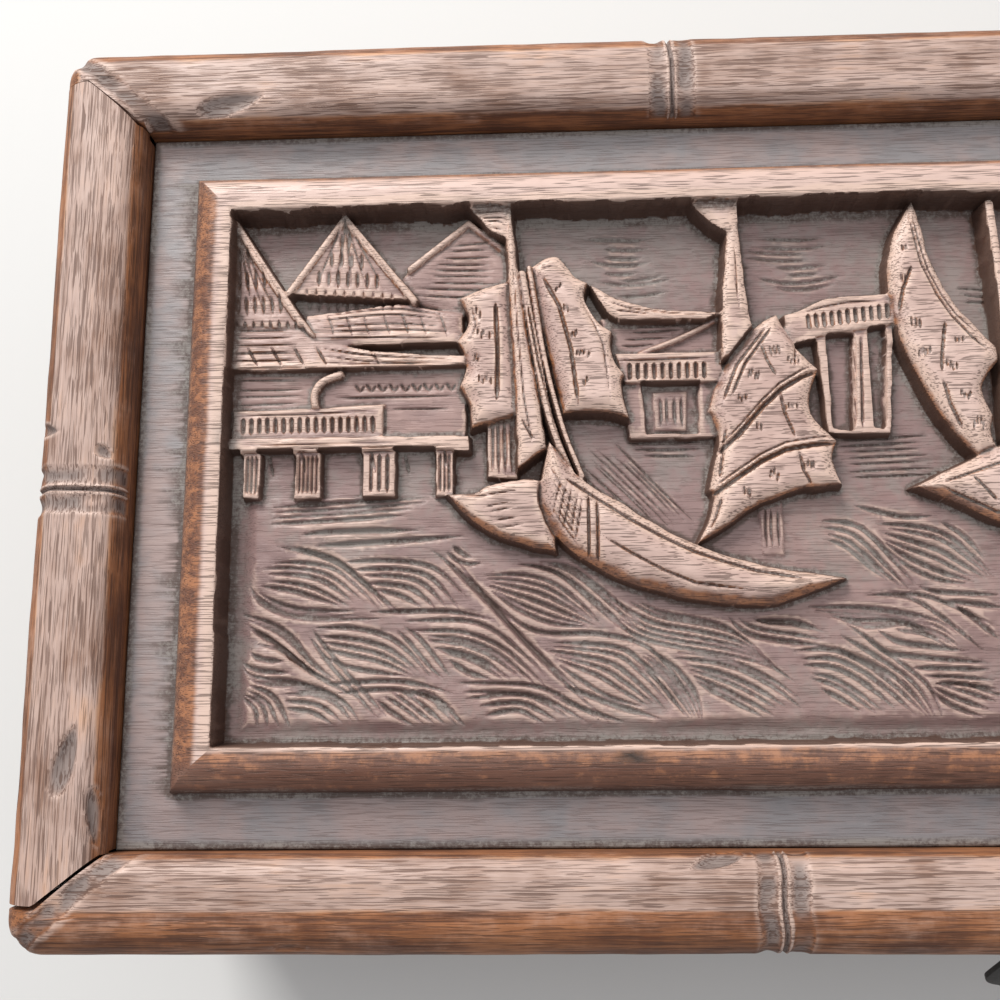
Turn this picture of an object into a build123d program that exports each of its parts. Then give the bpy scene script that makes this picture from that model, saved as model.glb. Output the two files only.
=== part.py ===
from build123d import *
import math
import os

# Keepsake box of dark hardwood: a dovetailed case between four bamboo-form base rails,
# and a carved plank lid framed by four bamboo-form rails, on two butt hinges, with a
# hasp and staple in front. Millimetres. The origin is the centre of the underside,
# +X runs along the box, -Y is the front and +Z is up.

# ---------------------------------------------------------------- driving sizes
# Overall plan, over the rails
box_length = 325.0
box_depth = 152.0

# Rails: the bamboo-form moulding of lid and base
rail_width = 15.2
rail_corner_radius = 6.0
lid_rail_height = 16.0
lid_crown_inner_radius = 4.0
lid_foot_chamfer = 1.8
base_rail_height = 14.0
base_crown_radius = 3.6
base_foot_chamfer = 1.8
mitre_end_x = 5.6
mitre_end_y = 7.2

# Bamboo nodes cut across the rails
node_groove_width = 0.9
node_groove_depth = 0.7
node_flat = 0.6
back_node_x = 56.0
front_node_x = 44.5
side_node_y = -4.0

# Panels held in the rails by a tongue
panel_groove_depth = 5.0
panel_groove_height = 3.5
panel_side_gap = 0.15
tongue_end_gap = 1.0
lid_groove_rise = 3.5
base_groove_rise = 3.0

# Carved lid board
lid_board_underside = 2.0
channel_level = 9.0
rim_inset = 24.0
rim_width = 7.3
rim_height = 5.0
rim_slope_radius = 4.6
rim_inner_radius = 0.6
recess_depth = 6.2

# Levels of the carved picture over the recess floor
water_level = 0.8
wave_level = 1.3
opening_level = 1.5
wall_level = 1.8
post_level = 2.4
veranda_level = 2.8
gable_level = 3.2
roof_level = 3.7
sail_level = 4.5
mast_level = 5.0
hull_level = 5.2

# Swells of the carved water
wave_rows = 2
waves_in_row = 5
wave_first_x = -126.0
wave_first_y = -18.0
wave_spacing = 22.8
wave_row_drop = 11.5
wave_length = 20.0
wave_fall = 7.0
wave_swell = 2.8

# Bottom board
bottom_thickness = 9.0

# Case walls
wall_height = 68.0
wall_thickness = 10.5
tail_count = 3
tail_width = 15.0
tail_flare = 2.2
wall_frame_width = 12.0
wall_channel_width = 5.0
wall_channel_depth = 2.4
wall_rim_width = 4.0
wall_rim_chamfer = 1.2
wall_field_depth = 3.0
lock_pad_width = 22.0
lock_pad_height = 21.0

# Lid hinges
lid_gap = 0.2
lid_open_angle = 100.0
lid_stop_gap = 0.15
hinge_spacing = 200.0
hinge_length = 30.0
hinge_leaf_width = 9.0
hinge_leaf_thickness = 0.9
hinge_barrel_radius = 2.1
hinge_knuckle_count = 3
hinge_pin_radius = 0.9
hinge_screw_spacing = 17.0
hinge_screw_setback = 5.6

# Hasp on the front lid rail
hasp_width = 13.0
hasp_leaf_height = 9.0
hasp_leaf_thickness = 0.9
hasp_leaf_inset = 1.2
hasp_axis_rise = 1.9
hasp_barrel_radius = 1.6
hasp_middle_knuckle = 6.0
hasp_pin_radius = 0.7
hasp_screw_spacing = 8.0
hasp_screw_rise = 6.0
strap_thickness = 0.9
strap_top_width = 11.0
strap_shoulder = 14.0
strap_notch_width = 7.2
strap_notch_drop = 18.8
strap_length = 23.5
strap_slot_width = 2.6
strap_rest_tilt = 27.5

# Staple on the front wall
staple_drop = 13.5
staple_wire_radius = 0.9
staple_half_height = 3.5
staple_reach = 5.5
staple_tail = 6.0
staple_plate_width = 13.0
staple_plate_height = 17.0
staple_plate_thickness = 0.9
staple_screw_spacing = 12.0

# Wood screws
screw_head_radius = 1.8
screw_shank_radius = 1.0
screw_length = 6.5
screw_head_sides = 12
screw_shank_sides = 6

# Running clearances
knuckle_end_gap = 0.15
knuckle_round_gap = 0.35
pin_running_gap = 0.05
slot_end_gap = 0.4

# ---------------------------------------------------------------- worked-out levels and places
half_length = box_length / 2
half_depth = box_depth / 2
wall_inset = rail_width - wall_thickness
wall_length = box_length - 2 * wall_inset
wall_depth = box_depth - 2 * wall_inset
wall_base = base_rail_height
wall_top = wall_base + wall_height
lid_base = wall_top + lid_gap
well_length = box_length - 2 * rail_width
well_depth = box_depth - 2 * rail_width
rim_length = box_length - 2 * rim_inset
rim_depth = box_depth - 2 * rim_inset
recess_length = rim_length - 2 * rim_width
recess_width = rim_depth - 2 * rim_width
channel_z = lid_base + channel_level
recess_floor = channel_z + rim_height - recess_depth

# The lid turns until the foot of its back rail meets the wall, so the hinge axis stands
# just far enough behind the wall for the opening angle.
lean = math.radians(lid_open_angle - 90)
foot_run = (wall_inset - lid_foot_chamfer) * math.sin(lean)
hinge_offset = (foot_run + lid_stop_gap) / (1 + math.sin(lean))
hinge_axis_y = half_depth - wall_inset + hinge_offset
hinge_axis_z = wall_top + lid_gap / 2
hinge_places = [-hinge_spacing / 2, hinge_spacing / 2]

# The hasp's knuckle stands clear of the flat that its leaf is let into.
hasp_flat_y = -half_depth + hasp_leaf_inset
hasp_axis_y = hasp_flat_y - knuckle_round_gap - hasp_barrel_radius
hasp_axis_z = lid_base + hasp_axis_rise
staple_z = hasp_axis_z - staple_drop
wall_front_y = -half_depth + wall_inset

os.makedirs("parts", exist_ok=True)


# ---------------------------------------------------------------- small helpers
def block(x0, x1, y0, y1, z0, z1):
    """Box between two corners."""
    size = Box(x1 - x0, y1 - y0, z1 - z0)
    return Pos((x0 + x1) / 2, (y0 + y1) / 2, (z0 + z1) / 2) * size


def slab(length, depth, z0, z1):
    """Box centred on the Z axis between two levels."""
    return block(-length / 2, length / 2, -depth / 2, depth / 2, z0, z1)


def prism(points, z0, z1):
    """Upright prism on a plan outline."""
    face = make_face(Polyline(*points, close=True))
    return Pos(0, 0, z0) * extrude(face, amount=z1 - z0)


def rod(radius, start, end, axis):
    """Round rod along X, Y or Z between two places on that axis."""
    turn = {"X": Rot(0, 90, 0), "Y": Rot(90, 0, 0), "Z": Rot(0, 0, 0)}[axis]
    middle = (start + end) / 2
    shift = {"X": Pos(middle, 0, 0), "Y": Pos(0, middle, 0), "Z": Pos(0, 0, middle)}[axis]
    return shift * turn * Cylinder(radius, end - start)


def save(name, solid):
    """Write one sub-part."""
    export_step(solid, "parts/" + name + ".step")


# ---------------------------------------------------------------- rails
# Each side of a frame as the turn that brings the front there, with its reach
frame_sides = {
    "front": (0, half_depth),
    "back": (180, half_depth),
    "left": (-90, half_length),
    "right": (90, half_length),
}


def rounded_block(height, crown_radius, foot_chamfer):
    """Block over the whole plan, rounded at its corners and crown, eased at its foot."""
    body = slab(box_length, box_depth, 0, height)
    corners = body.edges().filter_by(Axis.Z)
    if crown_radius == rail_corner_radius:
        corners += body.faces().sort_by(Axis.Z)[-1].edges()
    body = fillet(corners, rail_corner_radius)
    if crown_radius < rail_corner_radius:
        body = fillet(body.faces().sort_by(Axis.Z)[-1].edges(), crown_radius)
    return chamfer(body.faces().sort_by(Axis.Z)[0].edges(), foot_chamfer)


def groove_core(height, crown_radius, inner_radius):
    """What the nodes' grooves leave of a frame: smaller all round, its crown cut flat."""
    outer = 2 * node_groove_depth
    core = slab(box_length - outer, box_depth - outer, -1, height - node_groove_depth)
    core = chamfer(core.faces().sort_by(Axis.Z)[-1].edges(), node_flat * crown_radius)
    inner = outer if inner_radius > 0 else 0
    core -= slab(well_length + inner, well_depth + inner, -1, height)
    if inner_radius > 0:
        crown = core.faces().sort_by(Axis.Z)[-1].inner_wires()[0]
        core = chamfer(crown.edges(), node_flat * inner_radius)
    return core


def long_rail_plan(z0, z1):
    """Plan of the front rail: a mitre from the inner corner that turns into a butt."""
    far = half_length + rail_width
    butt_y = -half_depth + mitre_end_y
    turn_x = half_length - mitre_end_x
    inner_x = well_length / 2
    inner_y = -well_depth / 2
    outline = [
        (-far, -far),
        (far, -far),
        (far, butt_y),
        (turn_x, butt_y),
        (inner_x, inner_y),
        (-inner_x, inner_y),
        (-turn_x, butt_y),
        (-far, butt_y),
    ]
    return prism(outline, z0, z1)


def rail_plans(z0, z1):
    """The plan of each of the four rails."""
    front = long_rail_plan(z0, z1)
    back = Rot(0, 0, 180) * front
    well = slab(well_length, well_depth, z0, z1)
    sides = slab(box_length + 2, box_depth + 2, z0, z1) - well - front - back
    left_half = block(-box_length, 0, -box_depth, box_depth, z0, z1)
    return {"front": front, "back": back, "left": sides & left_half, "right": sides - left_half}


def inner_rounding(side, height, radius):
    """Waste to cut from a rail's inner top edge to round it over."""
    turn, reach = frame_sides[side]
    face_y = -reach + rail_width
    bottom = height - radius
    corner = block(-box_length, box_length, face_y - radius, face_y + 1, bottom, height + 1)
    round_bar = Pos(0, face_y - radius, bottom) * rod(radius, -box_length, box_length, "X")
    return Rot(0, 0, turn) * (corner - round_bar)


def node_places(side):
    """Places of the bamboo nodes along one rail, seen with that rail turned to the front."""
    if side == "front":
        return [-front_node_x, front_node_x]
    if side == "back":
        return [-back_node_x, back_node_x]
    return [-side_node_y] if side == "left" else [side_node_y]


def node_waste(side, core, height, over_crown):
    """Waste of one rail's bamboo nodes, a groove round the moulding at each."""
    turn, reach = frame_sides[side]
    groove_reach = -reach + (rail_width + 1 if over_crown else wall_inset)
    half_groove = node_groove_width / 2
    pieces = []
    for place in node_places(side):
        groove = block(
            place - half_groove, place + half_groove, -reach - 1, groove_reach, -1, height + 1
        )
        pieces.append(Rot(0, 0, turn) * groove - core)
    return pieces


def frame_rails(height, crown_radius, inner_radius, foot_chamfer, groove_z):
    """Four rails of one frame, standing on the plane z = 0, grooved for their panel.

    Where inner_radius is zero the rail is flat on top under the case walls, and its
    nodes stop at the walls."""
    over_crown = inner_radius > 0
    body = rounded_block(height, crown_radius, foot_chamfer)
    core = groove_core(height, crown_radius, inner_radius)
    rails = {}
    for side, plan in rail_plans(-1, height + 1).items():
        rail = body & plan
        if over_crown:
            rail -= inner_rounding(side, height, inner_radius)
        rail -= panel_groove(groove_z)
        for waste in node_waste(side, core, height, over_crown):
            rail -= waste
        rails[side] = rail
    return rails


def panel_groove(z0):
    """Groove run round the inner faces of four rails for a panel's tongue."""
    return slab(
        well_length + 2 * panel_groove_depth,
        well_depth + 2 * panel_groove_depth,
        z0,
        z0 + panel_groove_height,
    )


def panel(z0, z1, tongue_z):
    """Plank that fills the well of a frame, with a tongue that runs in its groove."""
    tongue_reach = 2 * (panel_groove_depth - tongue_end_gap)
    plank = slab(well_length - 2 * panel_side_gap, well_depth - 2 * panel_side_gap, z0, z1)
    tongue = slab(
        well_length + tongue_reach,
        well_depth + tongue_reach,
        tongue_z,
        tongue_z + panel_groove_height,
    )
    return plank + tongue


def raised_rim(length, depth, width, height, ease, outer_ease, inner_ease):
    """Flat-topped rim round a field, mitred, its top edges eased by fillets or chamfers."""
    outer = extrude(Rectangle(length, depth), amount=height)
    outer = ease(outer.faces().sort_by(Axis.Z)[-1].edges(), outer_ease)
    field = extrude(Rectangle(length - 2 * width, depth - 2 * width), amount=height)
    rim = outer - field
    top = rim.faces().sort_by(Axis.Z)[-1]
    return ease(top.inner_wires()[0].edges(), inner_ease)


# ---------------------------------------------------------------- carved picture
# The picture is drawn on a grid of 262 by 89 units over the recess, its origin in the middle.
unit_x = recess_length / 262
unit_y = recess_width / 89


def carved(level, *corners):
    """Form raised from the recess floor to a level, on an outline drawn counter-clockwise.

    A corner is x and y, and where the edge that leads to it is an arc, how far that arc
    bows in (or out, where negative)."""
    edges = []
    for start, end in zip(corners, corners[1:] + corners[:1]):
        x0, y0 = start[0] * unit_x, start[1] * unit_y
        x1, y1 = end[0] * unit_x, end[1] * unit_y
        bow = end[2] * unit_y if len(end) > 2 else 0
        if bow:
            run = math.hypot(x1 - x0, y1 - y0)
            middle = (
                (x0 + x1) / 2 - (y1 - y0) * bow / run,
                (y0 + y1) / 2 + (x1 - x0) * bow / run,
            )
            edges.append(ThreePointArc((x0, y0), middle, (x1, y1)))
        else:
            edges.append(Line((x0, y0), (x1, y1)))
    return Pos(0, 0, recess_floor) * extrude(make_face(edges), amount=level)


def upright(level, left, right, low, high):
    """Carved post, wall or rail with square corners."""
    return carved(level, (left, low), (right, low), (right, high), (left, high))


def houses():
    """Stilt houses at the end of the harbour: walls, veranda, roofs and gables."""
    forms = [
        upright(wall_level, -132, -91.5, 4.4, 16.6),
        upright(veranda_level, -132, -105.1, 4.2, 9.9),
        upright(gable_level, -132, -91, 2.3, 5),
        carved(gable_level, (-132, 23.4), (-118, 22.6), (-125, 33.6), (-132, 45)),
        carved(roof_level, (-132, 16), (-91.5, 16.3), (-91.5, 18.7), (-118.6, 24.2, 1.4), (-132, 24.6)),
        carved(gable_level, (-118.6, 25.8), (-103.4, 27.8), (-100.3, 28.4), (-112.3, 43.8), (-121.8, 30.2)),
        carved(veranda_level, (-119, 20.6), (-92, 20.8), (-92, 26.3), (-103, 28.2), (-118.8, 26.2)),
        carved(post_level, (-104, 29.4), (-92, 25.5), (-84, 27), (-84, 36.5), (-91, 42.5), (-101, 34)),
    ]
    for left, right in ((-128.3, -125.5), (-119.7, -115.5), (-108.5, -103.1), (-96.5, -93.6)):
        forms.append(upright(post_level, left, right, -5.2, 2.6))
    return forms


def pavilion():
    """Landing pavilion: swept roof, balustrade and the walls beside its doorway."""
    return [
        upright(opening_level, -67.5, -49, 18.2, 24.8),
        carved(roof_level, (-70.6, 31, 1.9), (-67, 25), (-48.4, 24.2), (-48.4, 25.6)),
        upright(veranda_level, -66.4, -48.8, 12.7, 18.4),
        upright(wall_level, -65.4, -62.3, 3.9, 12.9),
        upright(wall_level, -53.6, -49.8, 3.9, 12.9),
    ]


def landing():
    """Raised landing with its posts."""
    return [
        carved(veranda_level, (-38.5, 19.4), (-19.5, 22.6), (-19.5, 28), (-30, 27.6), (-38.5, 24.6)),
        carved(post_level, (-29.3, 4.4), (-25.5, 4.6), (-25.3, 21.9), (-28.2, 21.4)),
        carved(post_level, (-24.2, 4.6), (-22.4, 4), (-20.8, 22.8), (-22.9, 22.4)),
    ]


def two_sail_junk():
    """Junk with two scalloped sails, a mast with its stay, a stern and a long hull."""
    return [
        carved(
            sail_level, (-75.4, 8.5), (-64.6, 7.3), (-66.6, 16), (-67.6, 23), (-71.4, 30),
            (-75.8, 36.2), (-80.6, 34.6),
        ),
        carved(
            sail_level, (-90.8, 6.2), (-82.8, 8.4), (-84.4, 31.8), (-92.4, 29.2),
            (-92.9, 21.3, 1.3), (-92.5, 13.6, 1.3),
        ),
        upright(post_level, -88, -83.4, -2.4, 8.8),
        carved(sail_level, (-75.8, -2), (-72.6, -2.2), (-80.6, 34), (-82.6, 33.4)),
        carved(
            mast_level, (-83.2, -1), (-78.3, 2.6), (-82.2, 30), (-83.7, 45.2), (-84.9, 45.2),
            (-84.2, 30),
        ),
        carved(mast_level, (-91.6, 46), (-84.4, 39.6), (-83.6, 46)),
        carved(
            mast_level, (-95, -4.7), (-90.4, -9.6), (-77, -14.6), (-77, -3),
            (-88, -3.5),
        ),
        carved(
            hull_level, (-77.9, 4, 4.6), (-77.2, -11.6, -2), (-42, -23.3, -3.6),
            (-30.4, -19.2),
        ),
    ]


def fan_sail_junk():
    """Junk whose battened sail opens like a fan."""
    return [
        upright(wall_level, -44, -40.8, -15.5, -6.6),
        carved(
            mast_level, (-49.2, 17), (-43.2, 20), (-44.4, 28), (-45.3, 46), (-53.2, 46),
            (-47.6, 39.6), (-48.6, 28),
        ),
        carved(
            sail_level, (-54.2, -13.4), (-30.6, -4.5, 1.8), (-31, 3), (-33.3, 15.4, 2.1),
            (-39.4, 25.3), (-51.5, 8.7, -2.3), (-52.1, -4.7, 1.5),
        ),
    ]


def tall_sail_junk():
    """Junk in the middle, with a tall curved sail, a second sail and its hull."""
    return [
        carved(
            sail_level, (-8.6, 0.2, -2.3), (-5.4, 1.6), (-5.6, 6.8), (-4, 16.2, 1.9), (-4, 18.6),
            (-15.6, 45, 2.6), (-20.6, 30, -1.4),
        ),
        carved(
            sail_level, (-2.4, 6.6), (12.4, 7.6), (11.2, 17.6), (10.4, 26), (4.6, 33), (-3.4, 20),
        ),
        carved(mast_level, (-3.7, 3.6), (-1.9, 3.6), (-1.5, 24), (-2.3, 43.6), (-4.1, 43.6), (-3.3, 24)),
        carved(hull_level, (-19, -4.5, -1.6), (-1, -11.2), (17, 6.5, -3.2), (14, 4.6)),
    ]


def waves():
    """Main swells of the running water: rows of leaves, each falling away to the right."""
    leaves = []
    for row in range(wave_rows):
        y = wave_first_y - row * wave_row_drop
        for step in range(waves_in_row):
            x = wave_first_x + (step + row / wave_rows) * wave_spacing
            middle_x, middle_y = x + wave_length / 2, y - wave_fall / 2
            below = (middle_x, middle_y - wave_swell)
            above = (middle_x, middle_y + wave_swell)
            leaves.append(
                carved(wave_level, (x, y), below, (x + wave_length, y - wave_fall), above)
            )
    return leaves


def flipped(forms, shift):
    """The same forms facing the other way, moved along the picture."""
    return [Pos(shift * unit_x, 0, 0) * mirror(form, Plane.YZ) for form in forms]


def picture():
    """All the carved forms: a drawn half, and the same motifs rearranged beyond it."""
    forms = [upright(water_level, -129, 129, -43, -4.6)]
    forms += waves() + flipped(waves(), -4)
    forms += houses() + pavilion() + landing() + two_sail_junk() + fan_sail_junk() + tall_sail_junk()
    forms += flipped(houses(), 0) + flipped(pavilion(), 6)
    forms += flipped(two_sail_junk(), 2) + flipped(fan_sail_junk(), -1)
    return forms


# ---------------------------------------------------------------- screws
def screw(head_height):
    """Screw with a flat head at the origin and its shank down, with few facets."""
    head = extrude(RegularPolygon(screw_head_radius, screw_head_sides), amount=-head_height)
    shank = extrude(RegularPolygon(screw_shank_radius, screw_shank_sides), amount=-screw_length)
    return head + shank


def place_screws(places, turn, head_height):
    """Screws at the given places, their heads flush with the leaf or plate."""
    return [Pos(*place) * turn * screw(head_height) for place in places]


def group(solids):
    """Separate solids kept together in one sub-part."""
    return Compound(children=[s.solid() for s in solids])


# ---------------------------------------------------------------- butt hinges
def hinge_knuckles(place):
    """Start and end of each knuckle along one hinge."""
    pitch = (hinge_length + knuckle_end_gap) / hinge_knuckle_count
    first = place - hinge_length / 2
    return [
        (first + i * pitch, first + (i + 1) * pitch - knuckle_end_gap)
        for i in range(hinge_knuckle_count)
    ]


def at_hinge(solid):
    """Move a solid built about the X axis onto the hinge axis."""
    return Pos(0, hinge_axis_y, hinge_axis_z) * solid


def hinge_plate(place, z0):
    """Flat leaf before it is cut round the other leaf's knuckles."""
    half = hinge_length / 2
    return block(
        place - half, place + half,
        hinge_axis_y - hinge_leaf_width, hinge_axis_y,
        z0, z0 + hinge_leaf_thickness,
    )


def hinge_leaf(place, z0, own_first, bore_gap, screws):
    """One leaf with every other knuckle; own_first is the index of its first one."""
    knuckles = hinge_knuckles(place)
    clear_radius = hinge_barrel_radius + knuckle_round_gap
    leaf = hinge_plate(place, z0)
    for index, (start, end) in enumerate(knuckles):
        if index % 2 == own_first:
            leaf += at_hinge(rod(hinge_barrel_radius, start, end, "X"))
        else:
            leaf -= block(
                start - knuckle_end_gap, end + knuckle_end_gap,
                hinge_axis_y - clear_radius, hinge_axis_y + 1,
                z0 - 1, z0 + hinge_leaf_thickness + 1,
            )
    first, last = knuckles[0][0], knuckles[-1][1]
    leaf -= at_hinge(rod(hinge_pin_radius + bore_gap, first - 1, last + 1, "X"))
    for each in screws:
        leaf -= each
    return leaf


def hinge_pin(place):
    """Pin through all the knuckles, flush at both ends."""
    half = hinge_length / 2
    return at_hinge(rod(hinge_pin_radius, place - half, place + half, "X"))


def hinge_room(place):
    """Round clearance cut in the wood along the barrel."""
    half = hinge_length / 2 + knuckle_round_gap
    return at_hinge(rod(hinge_barrel_radius + knuckle_round_gap, place - half, place + half, "X"))


def hinge_screw_places(place, z):
    """Two screws along one leaf."""
    y = hinge_axis_y - hinge_screw_setback
    return [(place + side * hinge_screw_spacing / 2, y, z) for side in (-1, 1)]


# ---------------------------------------------------------------- hasp and staple
def hasp_leaf(screws):
    """Leaf let into the front rail, with a knuckle at each side of the strap's."""
    half = hasp_width / 2
    front_y = hasp_flat_y - hasp_leaf_thickness
    inner = hasp_middle_knuckle / 2 + knuckle_end_gap
    top_z = hasp_axis_z + hasp_leaf_height
    notch_top = hasp_axis_z + hasp_barrel_radius + knuckle_round_gap
    leaf = block(-half, half, front_y, hasp_flat_y, hasp_axis_z, top_z)
    leaf -= block(-inner, inner, front_y - 1, hasp_flat_y + 1, hasp_axis_z - 1, notch_top)
    for start, end in ((-half, -inner), (inner, half)):
        barrel = Pos(0, hasp_axis_y, hasp_axis_z) * rod(hasp_barrel_radius, start, end, "X")
        curl_top = hasp_axis_z + hasp_barrel_radius
        leaf += barrel + block(start, end, hasp_axis_y, hasp_flat_y, hasp_axis_z, curl_top)
    bore = rod(hasp_pin_radius, -half - 1, half + 1, "X")
    leaf -= Pos(0, hasp_axis_y, hasp_axis_z) * bore
    for each in screws:
        leaf -= each
    return leaf


def strap_outline():
    """Half of the strap's outline below its neck, mirrored: a waist that swells to a
    lobe, a notch at each side and an ogee tip."""
    top = -(hasp_barrel_radius + knuckle_round_gap)
    half_top = strap_top_width / 2
    half_wide = hasp_width / 2
    half_notch = strap_notch_width / 2
    corner = (half_top, top)
    lobe = (half_wide, -strap_shoulder)
    notch = (half_notch, -strap_notch_drop)
    tip = (0, -strap_length)
    waist_mid = (half_top * 0.35 + half_wide * 0.65, (top - strap_shoulder) / 2)
    lobe_mid = (half_wide * 0.85, -strap_shoulder * 0.32 - strap_notch_drop * 0.68)
    tip_mid = (half_notch * 0.4, -strap_notch_drop * 0.62 - strap_length * 0.38)
    right = [
        ThreePointArc(corner, waist_mid, lobe),
        ThreePointArc(lobe, lobe_mid, notch),
        ThreePointArc(notch, tip_mid, tip),
    ]
    left = [mirror(curve, Plane.YZ) for curve in right]
    return make_face(right + left + [Line((-half_top, top), corner)])


def hasp_strap():
    """Strap with its knuckle and slot, hanging straight down from the X axis."""
    slot_top = staple_drop - staple_half_height - slot_end_gap
    bend_offset = staple_reach - staple_half_height
    slot_bottom = math.hypot(bend_offset, staple_drop) + staple_half_height + slot_end_gap
    neck_half = hasp_middle_knuckle / 2
    half_thick = strap_thickness / 2
    neck_end = -(hasp_barrel_radius + knuckle_round_gap) - half_thick
    plate = Rot(90, 0, 0) * extrude(strap_outline(), amount=half_thick, both=True)
    plate += block(-neck_half, neck_half, -half_thick, half_thick, neck_end, 0)
    slot_middle = (slot_top + slot_bottom) / 2
    slot = SlotOverall(slot_bottom - slot_top, strap_slot_width, rotation=90)
    plate -= Rot(90, 0, 0) * Pos(0, -slot_middle, 0) * extrude(slot, amount=1, both=True)
    strap = plate + rod(hasp_barrel_radius, -neck_half, neck_half, "X")
    return strap - rod(hasp_pin_radius + pin_running_gap, -hasp_width, hasp_width, "X")


def hasp_pin():
    """Pin through the hasp's knuckles."""
    half = hasp_width / 2
    return Pos(0, hasp_axis_y, hasp_axis_z) * rod(hasp_pin_radius, -half, half, "X")


def staple():
    """Wire staple standing out of the wall, its nose bent in three turns."""
    spread = staple_half_height - staple_wire_radius
    tail_y = wall_front_y + staple_tail
    nose_y = hasp_axis_y - staple_reach + staple_wire_radius
    bend = staple_wire_radius
    path = Polyline(
        (0, tail_y, staple_z + spread),
        (0, nose_y + bend, staple_z + spread),
        (0, nose_y, staple_z + spread - bend),
        (0, nose_y, staple_z - spread + bend),
        (0, nose_y + bend, staple_z - spread),
        (0, tail_y, staple_z - spread),
    )
    section = Plane(origin=path @ 0, z_dir=path % 0) * Circle(staple_wire_radius)
    return sweep(section, path=path, transition=Transition.RIGHT)


def staple_plate(wire, screws):
    """Plate that the staple's legs pass through, with clipped corners."""
    half_height = staple_plate_height / 2
    plate = block(
        -staple_plate_width / 2, staple_plate_width / 2,
        wall_front_y - staple_plate_thickness, wall_front_y,
        staple_z - half_height, staple_z + half_height,
    )
    plate = chamfer(plate.edges().filter_by(Axis.Y), staple_plate_width / 6)
    plate -= wire
    for each in screws:
        plate -= each
    return plate


# ---------------------------------------------------------------- case walls
def tails():
    """The dovetails of all four corners, as they stand through the wall's thickness."""
    end_x = wall_length / 2
    root_x = end_x - wall_thickness
    pitch = wall_height / tail_count
    all_tails = None
    for index in range(tail_count):
        middle = wall_base + (index + 0.5) * pitch
        root = tail_width / 2 - tail_flare / 2
        end = tail_width / 2 + tail_flare / 2
        outline = [
            (root_x, middle - root),
            (end_x, middle - end),
            (end_x, middle + end),
            (root_x, middle + root),
        ]
        face = Plane.XZ * make_face(Polyline(*outline, close=True))
        tail = Pos(0, -wall_depth / 2 + wall_thickness, 0) * extrude(face, amount=wall_thickness)
        pair = tail + mirror(tail, Plane.YZ)
        ring = pair + mirror(pair, Plane.XZ)
        all_tails = ring if all_tails is None else all_tails + ring
    return all_tails


def sunk_panel(length, reach):
    """What is cut from, and what is put back on, the outer face of a front-facing wall."""
    pocket_length = length - 2 * wall_frame_width
    pocket_height = wall_height - 2 * wall_frame_width
    over_length = pocket_length - 2 * wall_channel_width
    over_height = pocket_height - 2 * wall_channel_width
    middle_z = wall_base + wall_height / 2
    to_face = Pos(0, -reach, middle_z) * Rot(90, 0, 0)
    pocket = Box(pocket_length, pocket_height, 2 * wall_channel_depth)
    field = Box(over_length - 2 * wall_rim_width, over_height - 2 * wall_rim_width, 2 * wall_field_depth)
    rim = raised_rim(
        over_length, over_height, wall_rim_width, wall_channel_depth,
        chamfer, wall_rim_chamfer, rim_inner_radius,
    )
    return to_face * (pocket + field), to_face * Pos(0, 0, -wall_channel_depth) * rim


def wall_boards():
    """The four boards of the case, dovetailed, each with a sunk and rimmed panel."""
    half_x = wall_length / 2
    half_y = wall_depth / 2
    joints = tails()
    corner_strip = slab(wall_length, wall_depth, wall_base, wall_top)
    corner_strip -= slab(wall_length - 2 * wall_thickness, wall_depth, wall_base, wall_top)
    boards = {}
    for side, (turn, _) in frame_sides.items():
        runs_long = side in ("front", "back")
        length = wall_length if runs_long else wall_depth
        reach = half_y if runs_long else half_x
        board = block(
            -length / 2, length / 2, -reach, -reach + wall_thickness, wall_base, wall_top
        )
        cut, rim = sunk_panel(length, reach)
        board = Rot(0, 0, turn) * (board - cut + rim)
        boards[side] = board - (corner_strip - joints) if runs_long else board - joints
    return boards


# ---------------------------------------------------------------- hinges
case_cuts = []
lid_cuts = []
case_screws = []
lid_screws = []
for name, place in zip(("left", "right"), hinge_places):
    case_leaf_z = wall_top - hinge_leaf_thickness
    low_screws = place_screws(
        hinge_screw_places(place, wall_top), Rot(0, 0, 0), hinge_leaf_thickness
    )
    high_screws = place_screws(
        hinge_screw_places(place, lid_base), Rot(180, 0, 0), hinge_leaf_thickness
    )
    case_leaf = hinge_leaf(place, case_leaf_z, 0, 0.0, low_screws)
    lid_leaf = hinge_leaf(place, lid_base, 1, pin_running_gap, high_screws)
    save("hinge_" + name + "_case_leaf", case_leaf)
    save("hinge_" + name + "_lid_leaf", lid_leaf)
    save("hinge_" + name + "_pin", hinge_pin(place))
    case_cuts += [hinge_plate(place, case_leaf_z), hinge_room(place)] + low_screws
    lid_cuts += [hinge_plate(place, lid_base), hinge_room(place)] + high_screws
    case_screws += low_screws
    lid_screws += high_screws
save("hinge_case_screws", group(case_screws))
save("hinge_lid_screws", group(lid_screws))

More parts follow.
